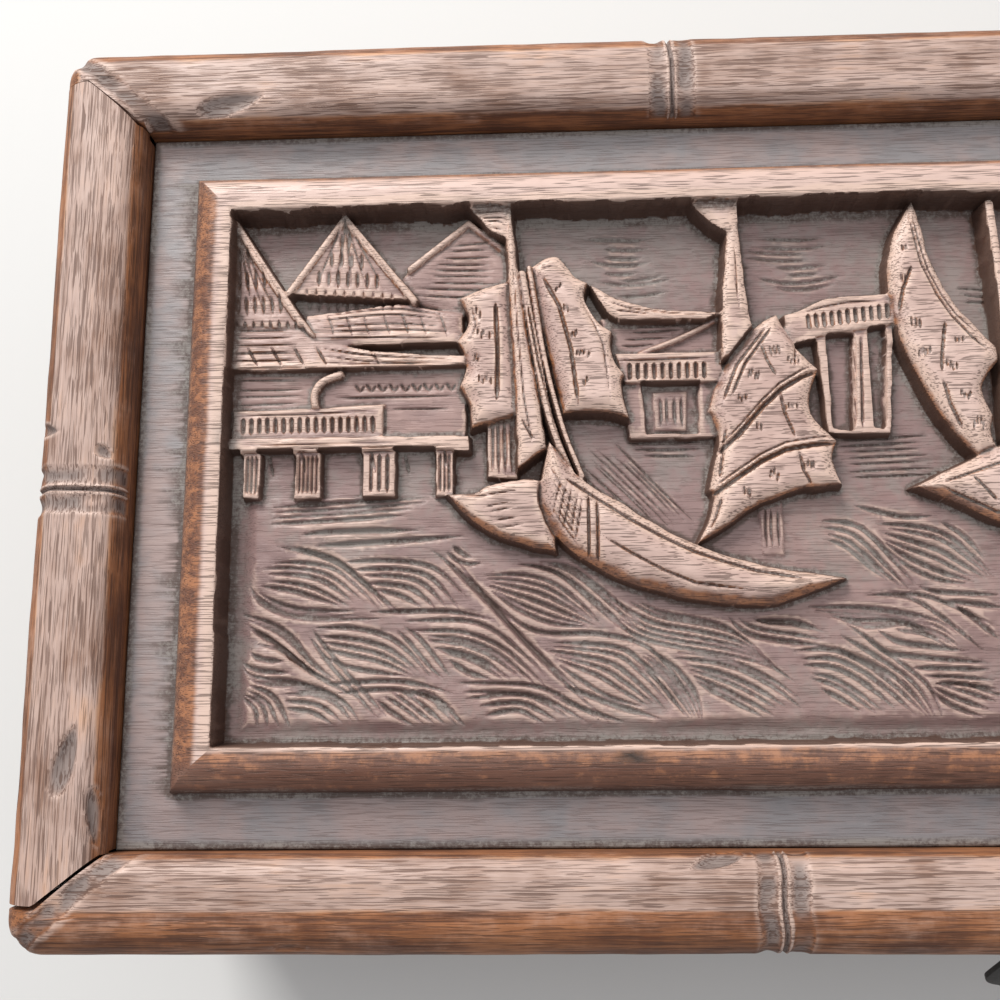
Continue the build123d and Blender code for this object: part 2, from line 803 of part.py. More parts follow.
# ---------------------------------------------------------------- hasp and staple
into_wood = Rot(90, 0, 0)
hasp_screw_z = hasp_axis_z + hasp_screw_rise
hasp_screw_y = hasp_flat_y - hasp_leaf_thickness
hasp_screws = place_screws(
    [(side * hasp_screw_spacing / 2, hasp_screw_y, hasp_screw_z) for side in (-1, 1)],
    into_wood,
    hasp_leaf_thickness,
)
staple_screw_y = wall_front_y - staple_plate_thickness
staple_screws = place_screws(
    [(0, staple_screw_y, staple_z + side * staple_screw_spacing / 2) for side in (-1, 1)],
    into_wood,
    staple_plate_thickness,
)
wire = staple()
hang = Pos(0, hasp_axis_y, hasp_axis_z) * Rot(-strap_rest_tilt, 0, 0)
save("hasp_leaf", hasp_leaf(hasp_screws))
save("hasp_pin", hasp_pin())
save("hasp_strap", hang * hasp_strap())
save("hasp_screws", group(hasp_screws))
save("staple", wire)
save("staple_plate", staple_plate(wire, staple_screws))
save("staple_screws", group(staple_screws))

# ---------------------------------------------------------------- lid
lid_tongue_z = lid_base + lid_groove_rise
lid_frame = frame_rails(
    lid_rail_height, rail_corner_radius, lid_crown_inner_radius,
    lid_foot_chamfer, lid_groove_rise,
)
lid_rails = {side: Pos(0, 0, lid_base) * rail for side, rail in lid_frame.items()}
for cut in lid_cuts:
    lid_rails["back"] -= cut
hasp_flat = block(
    -hasp_width / 2, hasp_width / 2, -half_depth - 1, hasp_flat_y,
    lid_base - 1, hasp_axis_z + hasp_leaf_height,
)
lid_rails["front"] -= hasp_flat
for each in hasp_screws:
    lid_rails["front"] -= each
for side, rail in lid_rails.items():
    save("lid_rail_" + side, rail)

rim = raised_rim(
    rim_length, rim_depth, rim_width, rim_height, fillet, rim_slope_radius, rim_inner_radius
)
recess = slab(recess_length, recess_width, recess_floor, channel_z + rim_height)
lid_board = panel(lid_base + lid_board_underside, channel_z, lid_tongue_z)
lid_board += Pos(0, 0, channel_z) * rim
lid_board -= recess
for form in picture():
    lid_board += form
save("lid_board", lid_board)

# ---------------------------------------------------------------- case
base_rails = frame_rails(
    base_rail_height, base_crown_radius, 0, base_foot_chamfer, base_groove_rise
)
for side, rail in base_rails.items():
    save("base_rail_" + side, rail)
save("bottom_board", panel(0, bottom_thickness, base_groove_rise))

walls = wall_boards()
pad_bottom = wall_top - lock_pad_height
walls["front"] += block(
    -lock_pad_width / 2, lock_pad_width / 2, wall_front_y, wall_front_y + wall_thickness,
    pad_bottom, wall_top,
)
walls["front"] -= wire
for each in staple_screws:
    walls["front"] -= each
for cut in case_cuts:
    walls["back"] -= cut
for side, board in walls.items():
    save("wall_" + side, board)
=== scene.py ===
"""Looks of the keepsake box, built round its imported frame.

The box lies with its length along X, its hinges towards +Y and its feet on z = 0. The
carving is cut as heights on a grid, the bamboo-form rails are swept and then gouged, and
the metal and the case walls are eased copies of the frame's own parts.
"""

import logging
import math
from dataclasses import dataclass, field
from enum import Enum
from typing import Sequence

import bmesh
import bpy
import numpy as np
from mathutils import Matrix, Vector

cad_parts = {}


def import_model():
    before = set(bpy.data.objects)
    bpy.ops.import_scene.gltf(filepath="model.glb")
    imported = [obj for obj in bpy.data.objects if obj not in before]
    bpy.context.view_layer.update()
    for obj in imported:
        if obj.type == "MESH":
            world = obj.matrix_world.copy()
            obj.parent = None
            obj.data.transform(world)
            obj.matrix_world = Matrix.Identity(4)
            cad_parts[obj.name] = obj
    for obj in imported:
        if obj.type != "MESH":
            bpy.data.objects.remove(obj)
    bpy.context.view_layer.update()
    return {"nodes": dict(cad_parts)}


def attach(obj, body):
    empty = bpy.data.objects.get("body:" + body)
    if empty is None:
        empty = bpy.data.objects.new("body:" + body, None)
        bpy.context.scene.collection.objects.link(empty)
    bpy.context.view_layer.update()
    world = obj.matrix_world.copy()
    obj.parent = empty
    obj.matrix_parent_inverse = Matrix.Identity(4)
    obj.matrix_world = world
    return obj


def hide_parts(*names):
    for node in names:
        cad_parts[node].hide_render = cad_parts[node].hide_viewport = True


MM = 0.001
Point = tuple[float, float]
Triple = tuple[float, float, float]
Colour = tuple[float, float, float]
Grid = np.ndarray

# half length and half depth of the carved board and of its rim
BOARD_HALF = (147.15, 60.65)
RIM_HALF = (138.5, 52.0)
LID_BASE = 82.2

log = logging.getLogger("keepsake_box")


class Body(Enum):
    """Moving bodies of the box."""

    CASE = "case"
    LID = "lid"
    HASP = "hasp"


class Slot(Enum):
    """Material slots of the record."""

    HARDWOOD = "hardwood"
    CARVED = "carved_hardwood"
    BRASS = "brass"
    DARK_METAL = "dark_metal"


class Grain(Enum):
    """Direction that the wood's grain runs in, as stretches of x, y and z."""

    ALONG_X = (0.034, 1.0, 1.0)
    ALONG_Y = (1.0, 0.034, 1.0)


# ---------------------------------------------------------------- shader maths
class Signal:
    """A shader socket that can be used in arithmetic."""

    def __init__(self, bench: "Bench", socket: bpy.types.NodeSocket) -> None:
        """Wrap an output socket of one material."""
        self.bench = bench
        self.socket = socket

    def _sum(self, operation: str, first: object, second: object) -> "Signal":
        """Add a Math node on two values."""
        return self.bench.node("ShaderNodeMath", {"operation": operation}, {0: first, 1: second})

    def __add__(self, other: object) -> "Signal":
        """Value plus other."""
        return self._sum("ADD", self, other)

    def __sub__(self, other: object) -> "Signal":
        """Value minus other."""
        return self._sum("SUBTRACT", self, other)

    def __rsub__(self, other: object) -> "Signal":
        """Other minus value."""
        return self._sum("SUBTRACT", other, self)

    def __mul__(self, other: object) -> "Signal":
        """Value times other."""
        return self._sum("MULTIPLY", self, other)

    def most(self, other: object) -> "Signal":
        """The larger of value and other."""
        return self._sum("MAXIMUM", self, other)

    def least(self, other: object) -> "Signal":
        """The smaller of value and other."""
        return self._sum("MINIMUM", self, other)

    def size(self) -> "Signal":
        """The value without its sign."""
        return self.bench.node("ShaderNodeMath", {"operation": "ABSOLUTE"}, {0: self})

    __radd__ = __add__
    __rmul__ = __mul__


class Bench:
    """Makes one material and adds its nodes."""

    def __init__(self, name: str) -> None:
        """Start an empty material.

        Args:
            name: the material's name.
        """
        self.material = bpy.data.materials.new(name)
        self.material.use_nodes = True
        self.tree = self.material.node_tree
        self.tree.nodes.clear()

    def node(
        self,
        kind: str,
        settings: dict[str, object] | None = None,
        sockets: dict[object, object] | None = None,
        out: int | str = 0,
    ) -> Signal | None:
        """Add a node: its settings first, then the values or links of its sockets.

        Args:
            kind: the node's type.
            settings: properties by name; "stops" are a ramp's (place, colour) pairs.
            sockets: values or signals by socket name or index.
            out: the output that is returned.

        Returns:
            The chosen output as a signal, or None for a node without outputs.
        """
        node = self.tree.nodes.new(kind)
        for name, value in (settings or {}).items():
            if name == "stops":
                self._stops(node.color_ramp, value)
            else:
                setattr(node, name, value)
        for name, value in (sockets or {}).items():
            if isinstance(value, Signal):
                self.tree.links.new(value.socket, node.inputs[name])
            else:
                node.inputs[name].default_value = value
        return Signal(self, node.outputs[out]) if len(node.outputs) else None

    @staticmethod
    def _stops(ramp: bpy.types.ColorRamp, stops: Sequence[tuple[float, Colour]]) -> None:
        """Set a ramp's stops."""
        for index, (place, colour) in enumerate(stops):
            element = ramp.elements[index] if index < 2 else ramp.elements.new(place)
            element.position = place
            element.color = (*colour, 1.0)

    def mix(self, factor: object, first: object, second: object, blend: str = "MIX") -> Signal:
        """Mix two colours by a factor."""
        first, second = (c if isinstance(c, Signal) else (*c, 1.0) for c in (first, second))
        return self.node(
            "ShaderNodeMix",
            {"data_type": "RGBA", "blend_type": blend},
            {0: factor, 6: first, 7: second},
            2,
        )

    def stretch(self, vector: object, scale: Triple) -> Signal:
        """Scale a vector along each axis."""
        return self.node(
            "ShaderNodeVectorMath", {"operation": "MULTIPLY"}, {0: vector, 1: scale}
        )

    def enlarge(self, vector: object, factor: float) -> Signal:
        """Scale a vector by one factor."""
        return self.stretch(vector, (factor, factor, factor))

    def place(self) -> Signal:
        """Places on the piece, in metres."""
        return self.node("ShaderNodeTexCoord", {}, {}, "Object")

    def axis(self, vector: Signal, index: int) -> Signal:
        """One coordinate of a vector."""
        return self.node("ShaderNodeSeparateXYZ", {}, {0: vector}, index)

    def bump(self, height: Signal, strength: float = 0.5, distance: float = 0.00025) -> Signal:
        """The normal of a surface with fine heights on it."""
        return self.node(
            "ShaderNodeBump", {}, {"Strength": strength, "Distance": distance, "Height": height}
        )

    def noise(
        self, vector: object, scale: float, detail: float = 2.0, rough: float = 0.5
    ) -> Signal:
        """Noise over a vector, from 0 to 1."""
        return self.node(
            "ShaderNodeTexNoise",
            {},
            {"Vector": vector, "Scale": scale, "Detail": detail, "Roughness": rough},
        )

    def step(self, value: Signal, low: float, high: float) -> Signal:
        """A soft step from 0 at low to 1 at high, or the reverse where low is above high."""
        settings = {"interpolation_type": "SMOOTHSTEP"}
        if low < high:
            return self.node(
                "ShaderNodeMapRange", settings, {"Value": value, "From Min": low, "From Max": high}
            )
        return 1.0 - self.step(value, high, low)

    def attribute(self, name: str) -> Signal:
        """A number kept on the mesh."""
        return self.node("ShaderNodeAttribute", {"attribute_name": name}, {}, "Fac")

    def finish(self, **sockets: object) -> bpy.types.Material:
        """Close the material with one Principled surface.

        Args:
            sockets: values or signals by socket name, with _ for a space.

        Returns:
            The material.
        """
        named = {name.replace("_", " "): value for name, value in sockets.items()}
        surface = self.node("ShaderNodeBsdfPrincipled", {}, named)
        self.node("ShaderNodeOutputMaterial", {}, {"Surface": surface})
        return self.material


# ---------------------------------------------------------------- finishes
# light, middle and dark wood
RAIL_TONES = ((0.64, 0.49, 0.44), (0.52, 0.37, 0.315), (0.3, 0.17, 0.12))
WALL_TONES = ((0.36, 0.215, 0.145), (0.28, 0.155, 0.1), (0.185, 0.095, 0.06))


@dataclass(frozen=True)
class Wood:
    """Open-pored hardwood under old wax: streaks, fine pores, stained sides with painted shade,
    grey gouge cuts.
    """

    name: str
    grain: Grain
    light: Colour
    middle: Colour
    dark: Colour
    warm: Colour = (1.0, 0.7, 0.42)
    pore: Colour = (0.09, 0.04, 0.025)
    gouged: Colour = (0.25, 0.205, 0.19)
    shut: Colour = (0.035, 0.022, 0.018)
    worn: Colour = (0.7, 0.52, 0.44)
    # side and deep: stain of the turned sides, partly painted shade
    side: Colour = (0.38, 0.145, 0.055)
    deep: Colour = (0.125, 0.042, 0.019)
    roughness: float = 0.42

    def build(self) -> bpy.types.Material:
        """Make the material.

        Returns:
            The wood, its grain along the axis that the finish names.
        """
        bench = Bench(self.name)
        millimetres = bench.enlarge(bench.place(), 1000.0)
        along = bench.stretch(millimetres, self.grain.value)
        drift = bench.noise(bench.enlarge(along, 0.12), 1.0, 2.0)
        streak = bench.noise(along, 0.9, 5.0, 0.66)
        fine = bench.noise(bench.enlarge(along, 1.6), 2.6, 3.0, 0.6)
        patch = bench.noise(millimetres, 0.07, 3.0, 0.6)
        rubbed = bench.noise(millimetres, 0.22, 4.0, 0.62)
        side = bench.attribute("side")
        tone = streak * 0.34 + fine * 0.3 + drift * 0.3 + patch * 0.6 - 0.27
        body = bench.node(
            "ShaderNodeValToRGB",
            {"stops": [(0.34, self.dark), (0.52, self.middle), (0.66, self.light)]},
            {0: tone},
        )
        # a warmer tint in patches, stronger on the turned sides as part of their painted shade
        glow = bench.step(patch * 0.6 + streak * 0.4 + side * 0.3, 0.5, 0.74)
        body = bench.mix(glow * 0.85, body, self.warm, "MULTIPLY")
        # the turned sides are stained, in blotches with a ragged edge: partly real stain, partly
        # painted shade, with painted sheen left on the pale tops
        turned = bench.step(side + (rubbed - 0.5) * 1.1 + fine * 0.25, 0.4, 0.9)
        stain = bench.mix(
            bench.step(streak * 0.6 + patch * 0.3 + rubbed * 0.2, 0.42, 0.66), self.deep, self.side
        )
        colour = bench.mix(turned * 0.92, body, stain)
        hollow = bench.attribute("hollow")
        wear = bench.step(bench.attribute("worn") + rubbed * 0.5 + fine * 0.25, 0.62, 1.15)
        colour = bench.mix(wear * 0.8, colour, self.worn)
        dirt = bench.step(hollow + rubbed * 0.35 - 0.12, 0.12, 0.6)
        colour = bench.mix(dirt * 0.85, colour, self.gouged)
        # pores: fine dark dashes along the grain, with a few long ones
        dashes = bench.noise(bench.enlarge(along, 5.4), 1.0, 1.0, 0.4)
        long = bench.noise(bench.enlarge(along, 3.1), 1.0, 0.5, 0.4)
        bands = bench.step(streak * 0.6 + patch * 0.4, 0.56, 0.42)
        pores = (bench.step(dashes + bands * 0.05, 0.57, 0.65) * 0.75).most(
            bench.step(long + bands * 0.04, 0.64, 0.68)
        )
        colour = bench.mix(pores * 0.68, colour, self.pore)
        colour = bench.mix(bench.step(hollow, 0.8, 1.0) * 0.9, colour, self.shut)
        dull = self.roughness + dirt * 0.25 + pores * 0.2 + turned * 0.12 + (rubbed - 0.5) * 0.3
        height = fine * 0.4 + streak * 0.3 - pores * 1.0 + dirt * rubbed * 1.2
        return bench.finish(
            Base_Color=colour, Roughness=dull, Normal=bench.bump(height), Specular_IOR_Level=0.4
        )


@dataclass(frozen=True)
class Carving:
    """Carved face: bleached crests, stained steep cuts and sides with painted shade, grey dust
    lying low, a channel painted grey as a reflection.
    """

    name: str
    top: Colour = (0.69, 0.5, 0.435)
    tan: Colour = (0.54, 0.37, 0.32)
    rosy: Colour = (0.38, 0.245, 0.22)
    ground: Colour = (0.27, 0.172, 0.162)
    dust: Colour = (0.26, 0.235, 0.215)
    dirt: Colour = (0.085, 0.057, 0.047)
    # channel: grey painted reflection of the room on the plain channel
    channel: Colour = (0.29, 0.27, 0.275)
    bare: Colour = (0.4, 0.3, 0.28)
    # side and deep: stain of the turned sides, partly painted shade
    side: Colour = (0.4, 0.155, 0.06)
    deep: Colour = (0.13, 0.043, 0.019)
    under_light: Colour = (0.34, 0.2, 0.135)
    under_dark: Colour = (0.19, 0.1, 0.064)
    stain: Colour = (0.09, 0.042, 0.027)
    crest: Colour = (0.74, 0.535, 0.44)
    pore: Colour = (0.07, 0.034, 0.024)
    shut: Colour = (0.035, 0.02, 0.014)
    # darkening for the painted shade at the front of the channel
    front_shade: Colour = (0.68, 0.68, 0.7)
    underside_top: float = 86.0
    rim_half: Point = RIM_HALF
    board_half: Point = BOARD_HALF
    # widths of the rim's stained slope; the wide front band is partly painted shade
    end_stain: float = 4.4
    front_stain: float = 6.4
    back_stain: float = 1.6

    def _rim(self, bench: Bench, place: Signal) -> tuple[Signal, Signal]:
        """The rim's stained outer slope, wider at the front where it is partly painted shade, and
        the dirt along its foot and along the rails.

        Args:
            bench: the material's bench.
            place: places in millimetres.

        Returns:
            Stain with its painted shade, and dirt, each from 0 to 1.
        """
        x, y = bench.axis(place, 0), bench.axis(place, 1)
        end, long = self.rim_half[0] - x.size(), self.rim_half[1] - y.size()
        beside = bench.step(end - long, -0.2, 0.2)
        front = beside * bench.step(y, 1.0, -1.0)
        back = beside * bench.step(y, -1.0, 1.0)
        width = (
            self.end_stain
            + front * (self.front_stain - self.end_stain)
            + back * (self.back_stain - self.end_stain)
        )
        across = end.least(long)
        stained = bench.step(width - across, -1.5, 1.2) * bench.step(across, -0.2, 0.1)
        seam = (self.board_half[0] - x.size()).least(self.board_half[1] - y.size())
        return stained, bench.step(across.size(), 1.5, 0.0) * 0.8 + bench.step(seam, 2.2, 0.0)

    def build(self) -> bpy.types.Material:
        """Make the material.

        Returns:
            The carved face's wood.
        """
        bench = Bench(self.name)
        millimetres = bench.enlarge(bench.place(), 1000.0)
        along = bench.stretch(millimetres, Grain.ALONG_X.value)
        y, z = bench.axis(millimetres, 1), bench.axis(millimetres, 2)
        streak = bench.noise(along, 0.9, 5.0, 0.66)
        fine = bench.noise(bench.enlarge(along, 1.6), 2.8, 3.0, 0.6)
        patch = bench.noise(millimetres, 0.06, 4.0, 0.6)
        rubbed = bench.noise(millimetres, 0.4, 4.0, 0.65)
        speck = bench.noise(millimetres, 1.4, 3.0, 0.7)
        level = bench.attribute("level")
        field = bench.attribute("field")
        slope, edge_dirt = self._rim(bench, millimetres)
        tone = streak * 0.6 + fine * 0.4
        # higher wood was rubbed paler
        colour = bench.node(
            "ShaderNodeValToRGB",
            {"stops": [(0.08, self.ground), (0.42, self.rosy), (0.7, self.tan), (0.98, self.top)]},
            {0: level + (patch - 0.5) * 1.3 + (tone - 0.5) * 0.45},
        )
        lying = bench.step(patch * 0.7 + rubbed * 0.5 - level * 0.6, 0.46, 0.72)
        colour = bench.mix(lying * 0.6, colour, self.dust)
        # turned sides are stained, on the rim and round the forms: partly real stain, partly
        # painted shade
        facing = bench.node("ShaderNodeTexCoord", {}, {}, "Normal")
        turned = bench.step(bench.axis(facing, 2) - (rubbed - 0.5) * 0.2, 0.9, 0.66)
        slope = bench.step(slope + (patch - 0.5) * 0.5 + (streak - 0.5) * 0.3, 0.2, 0.8)
        # painted shade: the stain is deeper towards the front
        front = bench.step(y, -46.0, -49.0)
        stained = bench.mix(
            bench.step(streak * 0.5 + rubbed * 0.6 - front * 0.1, 0.46, 0.66), self.deep, self.side
        )
        kept = slope.most(turned * field * bench.step(level, 0.2, 0.6))
        colour = bench.mix(kept * 0.92, colour, stained)
        # the plain channel round the rim is painted grey as a reflection of the room, browner where
        # it was rubbed
        blown = bench.step(patch * 0.9 + tone * 0.2 + edge_dirt * 0.2, 0.42, 0.66)
        channel_reflection = bench.mix(blown, self.bare, self.channel)
        channel = (1.0 - field) * bench.step(level, 0.5, 0.3)
        colour = bench.mix(channel, colour, channel_reflection)
        # painted shade: the channel is darker towards the front
        shade = channel * bench.step(y, -30.0, -56.0)
        colour = bench.mix(shade * 0.8, colour, self.front_shade, "MULTIPLY")
        wear = bench.step(bench.attribute("worn") + rubbed * 0.35 + fine * 0.2, 0.5, 1.0)
        wear = wear * (0.5 + bench.step(level, 0.2, 0.6) * 0.35) * (1.0 - slope * 0.9)
        colour = bench.mix(wear, colour, self.crest)
        # a stain band round the forms' edges, stronger where they face the front: partly painted
        # shade
        edge = bench.step(bench.attribute("edge") + (rubbed - 0.5) * 0.5, 0.2, 0.7)
        colour = bench.mix(edge * 0.85, colour, stained)
        lodged = bench.attribute("hollow") + edge_dirt + (patch + rubbed) * 0.4 - 0.35
        dirt = bench.step(lodged, 0.1, 0.9)
        settled = bench.mix(bench.step(speck * 0.5 + patch * 0.6, 0.48, 0.64), self.dirt, self.dust)
        colour = bench.mix(dirt * 0.85, colour, settled)
        # steep cuts are darkened: partly stain, partly painted shade of undercuts
        cut = bench.step(bench.attribute("steep") + patch * 0.2, 0.35, 0.8)
        colour = bench.mix(cut * 0.9, colour, self.stain)
        dashes = bench.noise(bench.enlarge(along, 5.0), 1.0, 1.0, 0.4)
        pores = bench.step(dashes + bench.step(streak, 0.56, 0.42) * 0.05, 0.58, 0.65)
        pores = pores * (0.3 + bench.step(level, 0.3, 0.8) * 0.35)
        # the underside is plain planed wood
        planed = bench.mix(bench.step(tone, 0.4, 0.6), self.under_dark, self.under_light)
        under = bench.step(z, self.underside_top, self.underside_top - 1.2)
        colour = bench.mix(under, colour, planed)
        colour = bench.mix(pores, colour, self.pore)
        colour = bench.mix(bench.attribute("spot"), colour, self.shut)
        dull = 0.42 + 0.25 * dirt + pores * 0.2 + (speck - 0.5) * 0.25
        height = fine * 0.4 + streak * 0.25 - pores * 1.0 + speck * 0.15
        return bench.finish(
            Base_Color=colour, Roughness=dull, Normal=bench.bump(height), Specular_IOR_Level=0.5
        )


@dataclass(frozen=True)
class Metal:
    """Aged metal: a dull skin with brighter rubbed edges and spots of tarnish."""

    name: str
    bright: Colour
    dull: Colour
    tarnish: Colour
    metallic: float
    roughness: float

    def build(self) -> bpy.types.Material:
        """Make the material.

        Returns:
            The metal.
        """
        bench = Bench(self.name)
        millimetres = bench.enlarge(bench.place(), 1000.0)
        cloud = bench.noise(millimetres, 0.35, 5.0, 0.65)
        grit = bench.noise(millimetres, 3.2, 3.0, 0.6)
        rubbed = bench.step(bench.attribute("worn") * 0.8 + cloud * 0.7, 0.62, 1.1)
        skin = bench.mix(bench.step(cloud, 0.42, 0.62), self.dull, self.tarnish)
        colour = bench.mix(rubbed, skin, self.bright)
        return bench.finish(
            Base_Color=colour,
            Metallic=self.metallic - bench.step(cloud, 0.5, 0.75) * 0.35,
            Roughness=self.roughness + grit * 0.2 - rubbed * 0.12,
            Normal=bench.bump(cloud * 0.5 + grit * 0.4, 0.3, 0.0002),
        )


@dataclass(frozen=True)
class Paper:
    """Pale matt floor that reads as white from the camera."""

    name: str = "pale_floor"
    colour: Colour = (0.74, 0.74, 0.73)
    fleck: Colour = (0.64, 0.64, 0.63)

    def build(self) -> bpy.types.Material:
        """Make the material.

        Returns:
            The floor's finish.
        """
        bench = Bench(self.name)
        place = bench.place()
        fibre = bench.noise(place, 260.0, 4.0, 0.6)
        cloud = bench.noise(place, 5.0, 2.0)
        colour = bench.mix(fibre * 0.06 + cloud * 0.04, self.colour, self.fleck)
        return bench.finish(
            Base_Color=colour, Roughness=0.85, Normal=bench.bump(fibre, 0.05, 0.0002)
        )


# ---------------------------------------------------------------- plan geometry
def flow(*points: Point, step: float = 0.6) -> list[Point]:
    """A smooth curve through a few points.

    Args:
        points: places in millimetres.
        step: spacing of the result.

    Returns:
        Places along a Catmull-Rom curve through all the points.
    """
    if len(points) < 3:
        return list(points)
    ends = np.array([points[0], *points, points[-1]], float)
    curve = []
    for a, b, c, d in zip(ends, ends[1:], ends[2:], ends[3:]):
        count = max(2, int(math.dist(b, c) / step))
        t = (np.arange(count) / count)[:, None]
        curve.append(
            0.5 * (2 * b + (c - a) * t + (2 * a - 5 * b + 4 * c - d) * t**2
                   + (3 * b - a - 3 * c + d) * t**3)
        )
    return [tuple(p) for p in np.vstack([*curve, [points[-1]]])]


def ring(*runs: Sequence[Point]) -> list[Point]:
    """A closed outline of smooth runs that meet at corners.

    Args:
        runs: each the next few points; a run goes on from where the one before it ends.

    Returns:
        The outline, without its first point repeated.
    """
    outline = flow(*runs[0])
    for run in runs[1:]:
        outline += flow(outline[-1], *run)[1:]
    if math.dist(outline[0], outline[-1]) < 1e-6:
        outline.pop()
    return outline


def strip(left: Sequence[Point], right: Sequence[Point]) -> list[Point]:
    """An outline between two long edges that run the same way."""
    return ring(left, right[-1:], right[-2::-1], left[:1])


def resample(points: Sequence[Point], count: int) -> Grid:
    """A curve's points spaced evenly.

    Args:
        points: the curve.
        count: how many points come back.

    Returns:
        An array of places, count by 2.
    """
    curve = np.array(points, float)
    run = np.concatenate([[0.0], np.cumsum(np.hypot(*np.diff(curve, axis=0).T))])
    at = np.linspace(0.0, run[-1], count)
    return np.stack([np.interp(at, run, curve[:, 0]), np.interp(at, run, curve[:, 1])], 1)


def ease(value: Grid) -> Grid:
    """Smooth step of a value that is cut off at 0 and 1."""
    value = np.clip(value, 0.0, 1.0)
    return value * value * (3.0 - 2.0 * value)


class Ripple:
    """Smooth random unevenness over a plane, the same on every run."""

    def __init__(self, seed: int) -> None:
        """Fill a repeating lattice.

        Args:
            seed: the lattice's number.
        """
        self.lattice = np.random.default_rng(seed).uniform(-1.0, 1.0, (64, 64))

    def __call__(self, x: Grid, y: Grid, pitch_x: float, pitch_y: float) -> Grid:
        """Unevenness from -1 to 1 at places, with the given lattice pitches."""
        u, v = np.asarray(x) / pitch_x, np.asarray(y) / pitch_y
        i, j = np.floor(u).astype(int), np.floor(v).astype(int)
        fu, fv = ease(u - i), ease(v - j)
        i0, i1, j0, j1 = i % 64, (i + 1) % 64, j % 64, (j + 1) % 64
        near = self.lattice[j0, i0] * (1 - fu) + self.lattice[j0, i1] * fu
        far = self.lattice[j1, i0] * (1 - fu) + self.lattice[j1, i1] * fu
        return near * (1 - fv) + far * fv


# ---------------------------------------------------------------- carving
@dataclass
class Canvas:
    """Heights over a plan grid, in millimetres, with what a finish needs to know of them."""

    left: float
    right: float
    front: float
    back: float
    pitch: float

    def __post_init__(self) -> None:
        """Lay out the grid."""
        self.x, self.y = (
            np.linspace(low, high, round((high - low) / self.pitch) + 1)
            for low, high in ((self.left, self.right), (self.front, self.back))
        )
        self.z, self.soot, self.edge, self.gouged = np.zeros((4, len(self.y), len(self.x)))

    def window(self, points: Grid, margin: float) -> tuple[tuple[slice, slice], Grid, Grid] | None:
        """The part of the grid round some points.

        Args:
            points: places, n by 2.
            margin: how far round them.

        Returns:
            The grid's slices with the x and y of its places, or None where it misses the grid.
        """
        (x0, y0), (x1, y1) = points.min(0) - margin, points.max(0) + margin
        i0, i1 = np.searchsorted(self.x, (x0, x1))
        j0, j1 = np.searchsorted(self.y, (y0, y1))
        if i1 - i0 < 2 or j1 - j0 < 2:
            return None
        grid_x, grid_y = np.meshgrid(self.x[i0:i1], self.y[j0:j1])
        return (slice(j0, j1), slice(i0, i1)), grid_x, grid_y

    @staticmethod
    def reach(x: Grid, y: Grid, points: Grid, closed: bool) -> tuple[Grid, Grid]:
        """Distance to a line and how far along it the nearest place is.

        Args:
            x: places' x.
            y: places' y.
            points: the line's points, n by 2.
            closed: whether it returns to its start.

        Returns:
            Distances, and shares of the line's length.
        """
        ends = np.vstack([points, points[:1]]) if closed else points
        runs = np.hypot(*np.diff(ends, axis=0).T)
        total = max(runs.sum(), 1e-9)
        best = np.full(x.shape, 1e9)
        share = np.zeros(x.shape)
        done = 0.0
        for (ax, ay), (bx, by), run in zip(ends, ends[1:], runs):
            if run < 1e-9:
                continue
            dx, dy = bx - ax, by - ay
            t = np.clip(((x - ax) * dx + (y - ay) * dy) / run**2, 0.0, 1.0)
            square = (x - ax - t * dx) ** 2 + (y - ay - t * dy) ** 2
            nearer = square < best
            best[nearer] = square[nearer]
            share[nearer] = (done + t * run)[nearer] / total
            done += run
        return np.sqrt(best), share

    def inset(self, x: Grid, y: Grid, outline: Grid) -> Grid:
        """Signed distance to an outline, positive inside it."""
        distance, _ = self.reach(x, y, outline, True)
        inside = np.zeros(x.shape, bool)
        for (ax, ay), (bx, by) in zip(outline, np.roll(outline, -1, axis=0)):
            if abs(by - ay) > 1e-12:
                crosses = (ay > y) != (by > y)
                inside ^= crosses & (x < (bx - ax) * (y - ay) / (by - ay) + ax)
        return np.where(inside, distance, -distance)

    @staticmethod
    def blurred(values: Grid, radius: int) -> Grid:
        """Values averaged over a square twice, its half side in grid steps."""
        for axis in (0, 1, 0, 1):
            padded = np.pad(values, [(radius + 1, radius) if a == axis else (0, 0) for a in (0, 1)],
                            mode="edge")
            total = np.cumsum(padded, axis=axis)
            size = 2 * radius + 1
            ahead = np.take(total, range(size, total.shape[axis]), axis=axis)
            behind = np.take(total, range(0, total.shape[axis] - size), axis=axis)
            values = (ahead - behind) / size
        return values


